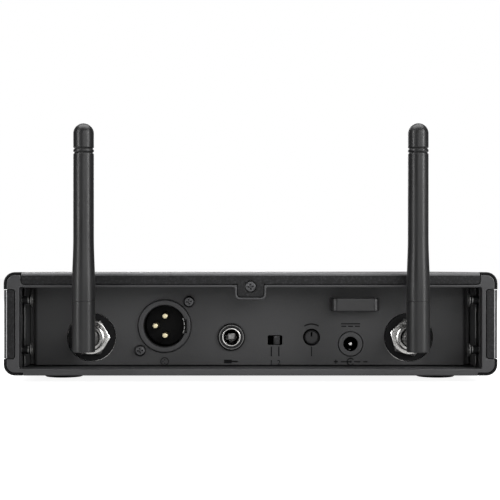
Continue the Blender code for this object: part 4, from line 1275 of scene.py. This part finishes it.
# Stage -----------------------------------------------------------------------------------------


def area_light(name, place, target, size, power):
    light = bpy.data.lights.new(name, "AREA")
    light.shape = "RECTANGLE"
    light.size, light.size_y = size
    light.energy = power
    obj = bpy.data.objects.new(name, light)
    bpy.context.scene.collection.objects.link(obj)
    obj.location = place
    obj.rotation_euler = (Vector(target) - Vector(place)).to_track_quat("-Z", "Y").to_euler()


def make_floor():
    """Pale floor that stays near white, with a soft shadow under the unit."""
    bm = bmesh.new()
    bmesh.ops.create_grid(bm, x_segments=4, y_segments=4, size=6.0)
    mesh = bpy.data.meshes.new("floor")
    bm.to_mesh(mesh)
    bm.free()
    floor = object_of("floor", mesh)
    m = Nodes("floor", (0.55, 0.55, 0.55), 0.7)
    m.set("Specular IOR Level", 0.1)
    m.set("Emission Color", (1, 1, 1, 1))
    camera_ray = m.add("ShaderNodeLightPath").outputs["Is Camera Ray"]
    m.link(m.ramp(camera_ray, 0, 1, 0.0, 0.90), m.shader.inputs["Emission Strength"])
    floor.data.materials.append(m.material)


def make_world():
    """White to the camera, and a dark studio to everything else."""
    world = bpy.data.worlds.new("studio")
    bpy.context.scene.world = world
    world.use_nodes = True
    tree = world.node_tree
    room = tree.nodes["Background"]
    white = tree.nodes.new("ShaderNodeBackground")
    for node, strength in ((room, 0.07), (white, 1.0)):
        node.inputs["Color"].default_value = (1, 1, 1, 1)
        node.inputs["Strength"].default_value = strength
    path = tree.nodes.new("ShaderNodeLightPath")
    mix = tree.nodes.new("ShaderNodeMixShader")
    tree.links.new(path.outputs["Is Camera Ray"], mix.inputs["Fac"])
    tree.links.new(room.outputs["Background"], mix.inputs[1])
    tree.links.new(white.outputs["Background"], mix.inputs[2])
    tree.links.new(mix.outputs["Shader"], tree.nodes["World Output"].inputs["Surface"])


def make_lights():
    """Strips at both sides, softboxes behind, above and in front, a small key by the camera."""
    aim = (0, REAR, TOP / 2)
    reach, azimuth, strip = 0.65, math.radians(58), (0.10, 0.6)
    x, y = reach * math.sin(azimuth), REAR + reach * math.cos(azimuth)
    area_light("left_strip", (x, y, 0.18), aim, strip, 2.0)
    area_light("right_strip", (-x, y, 0.18), aim, strip, 2.3)
    area_light("front_softbox", (-0.45, REAR + 0.75, 0.36), aim, (0.9, 0.4), 3.2)
    area_light("top_softbox", (0, 0.02, 0.8), (0, 0, 0), (1.1, 0.7), 9)
    area_light("camera_key", (0, REAR + 1.0, 0.18), aim, (0.3, 0.3), 0.55)
    area_light("display_fill", (0.25, FRONT - 1.1, 0.45), (0, FRONT, TOP / 2), (0.8, 0.6), 5)


def make_camera():
    """Level with the cover, a little to one side of the middle and shifted back to centre."""
    data = bpy.data.cameras.new("camera")
    camera = bpy.data.objects.new("camera", data)
    bpy.context.scene.collection.objects.link(camera)
    distance, aside = 520 * MM, 7 * MM
    data.sensor_width = 36
    data.lens = 88.1
    data.shift_y = 0.04
    data.shift_x = aside / (REAR + distance - PANEL_Y) * data.lens / data.sensor_width
    camera.location = (aside, REAR + distance, BASE + 44.9 * MM)
    camera.rotation_euler = (math.pi / 2, 0, math.pi)
    bpy.context.scene.camera = camera


def finish_nodes():
    """Gives every CAD node that still shows its material."""
    for node, obj in frame["nodes"].items():
        obj.data.materials.clear()
        obj.data.materials.append(MATERIALS[SLOT_OF[node]])


def main():
    make_camera()
    make_world()
    make_lights()
    make_floor()
    finish_nodes()
    dress_shell()
    make_feet()
    make_screws()
    make_xlr()
    make_jack()
    make_dc_socket()
    make_level_switch()
    make_squelch()
    make_cable_bridge()
    make_antennas()
    rear_marks()
    make_front()
    make_inside()
    bpy.context.scene.view_settings.view_transform = "Standard"


main()
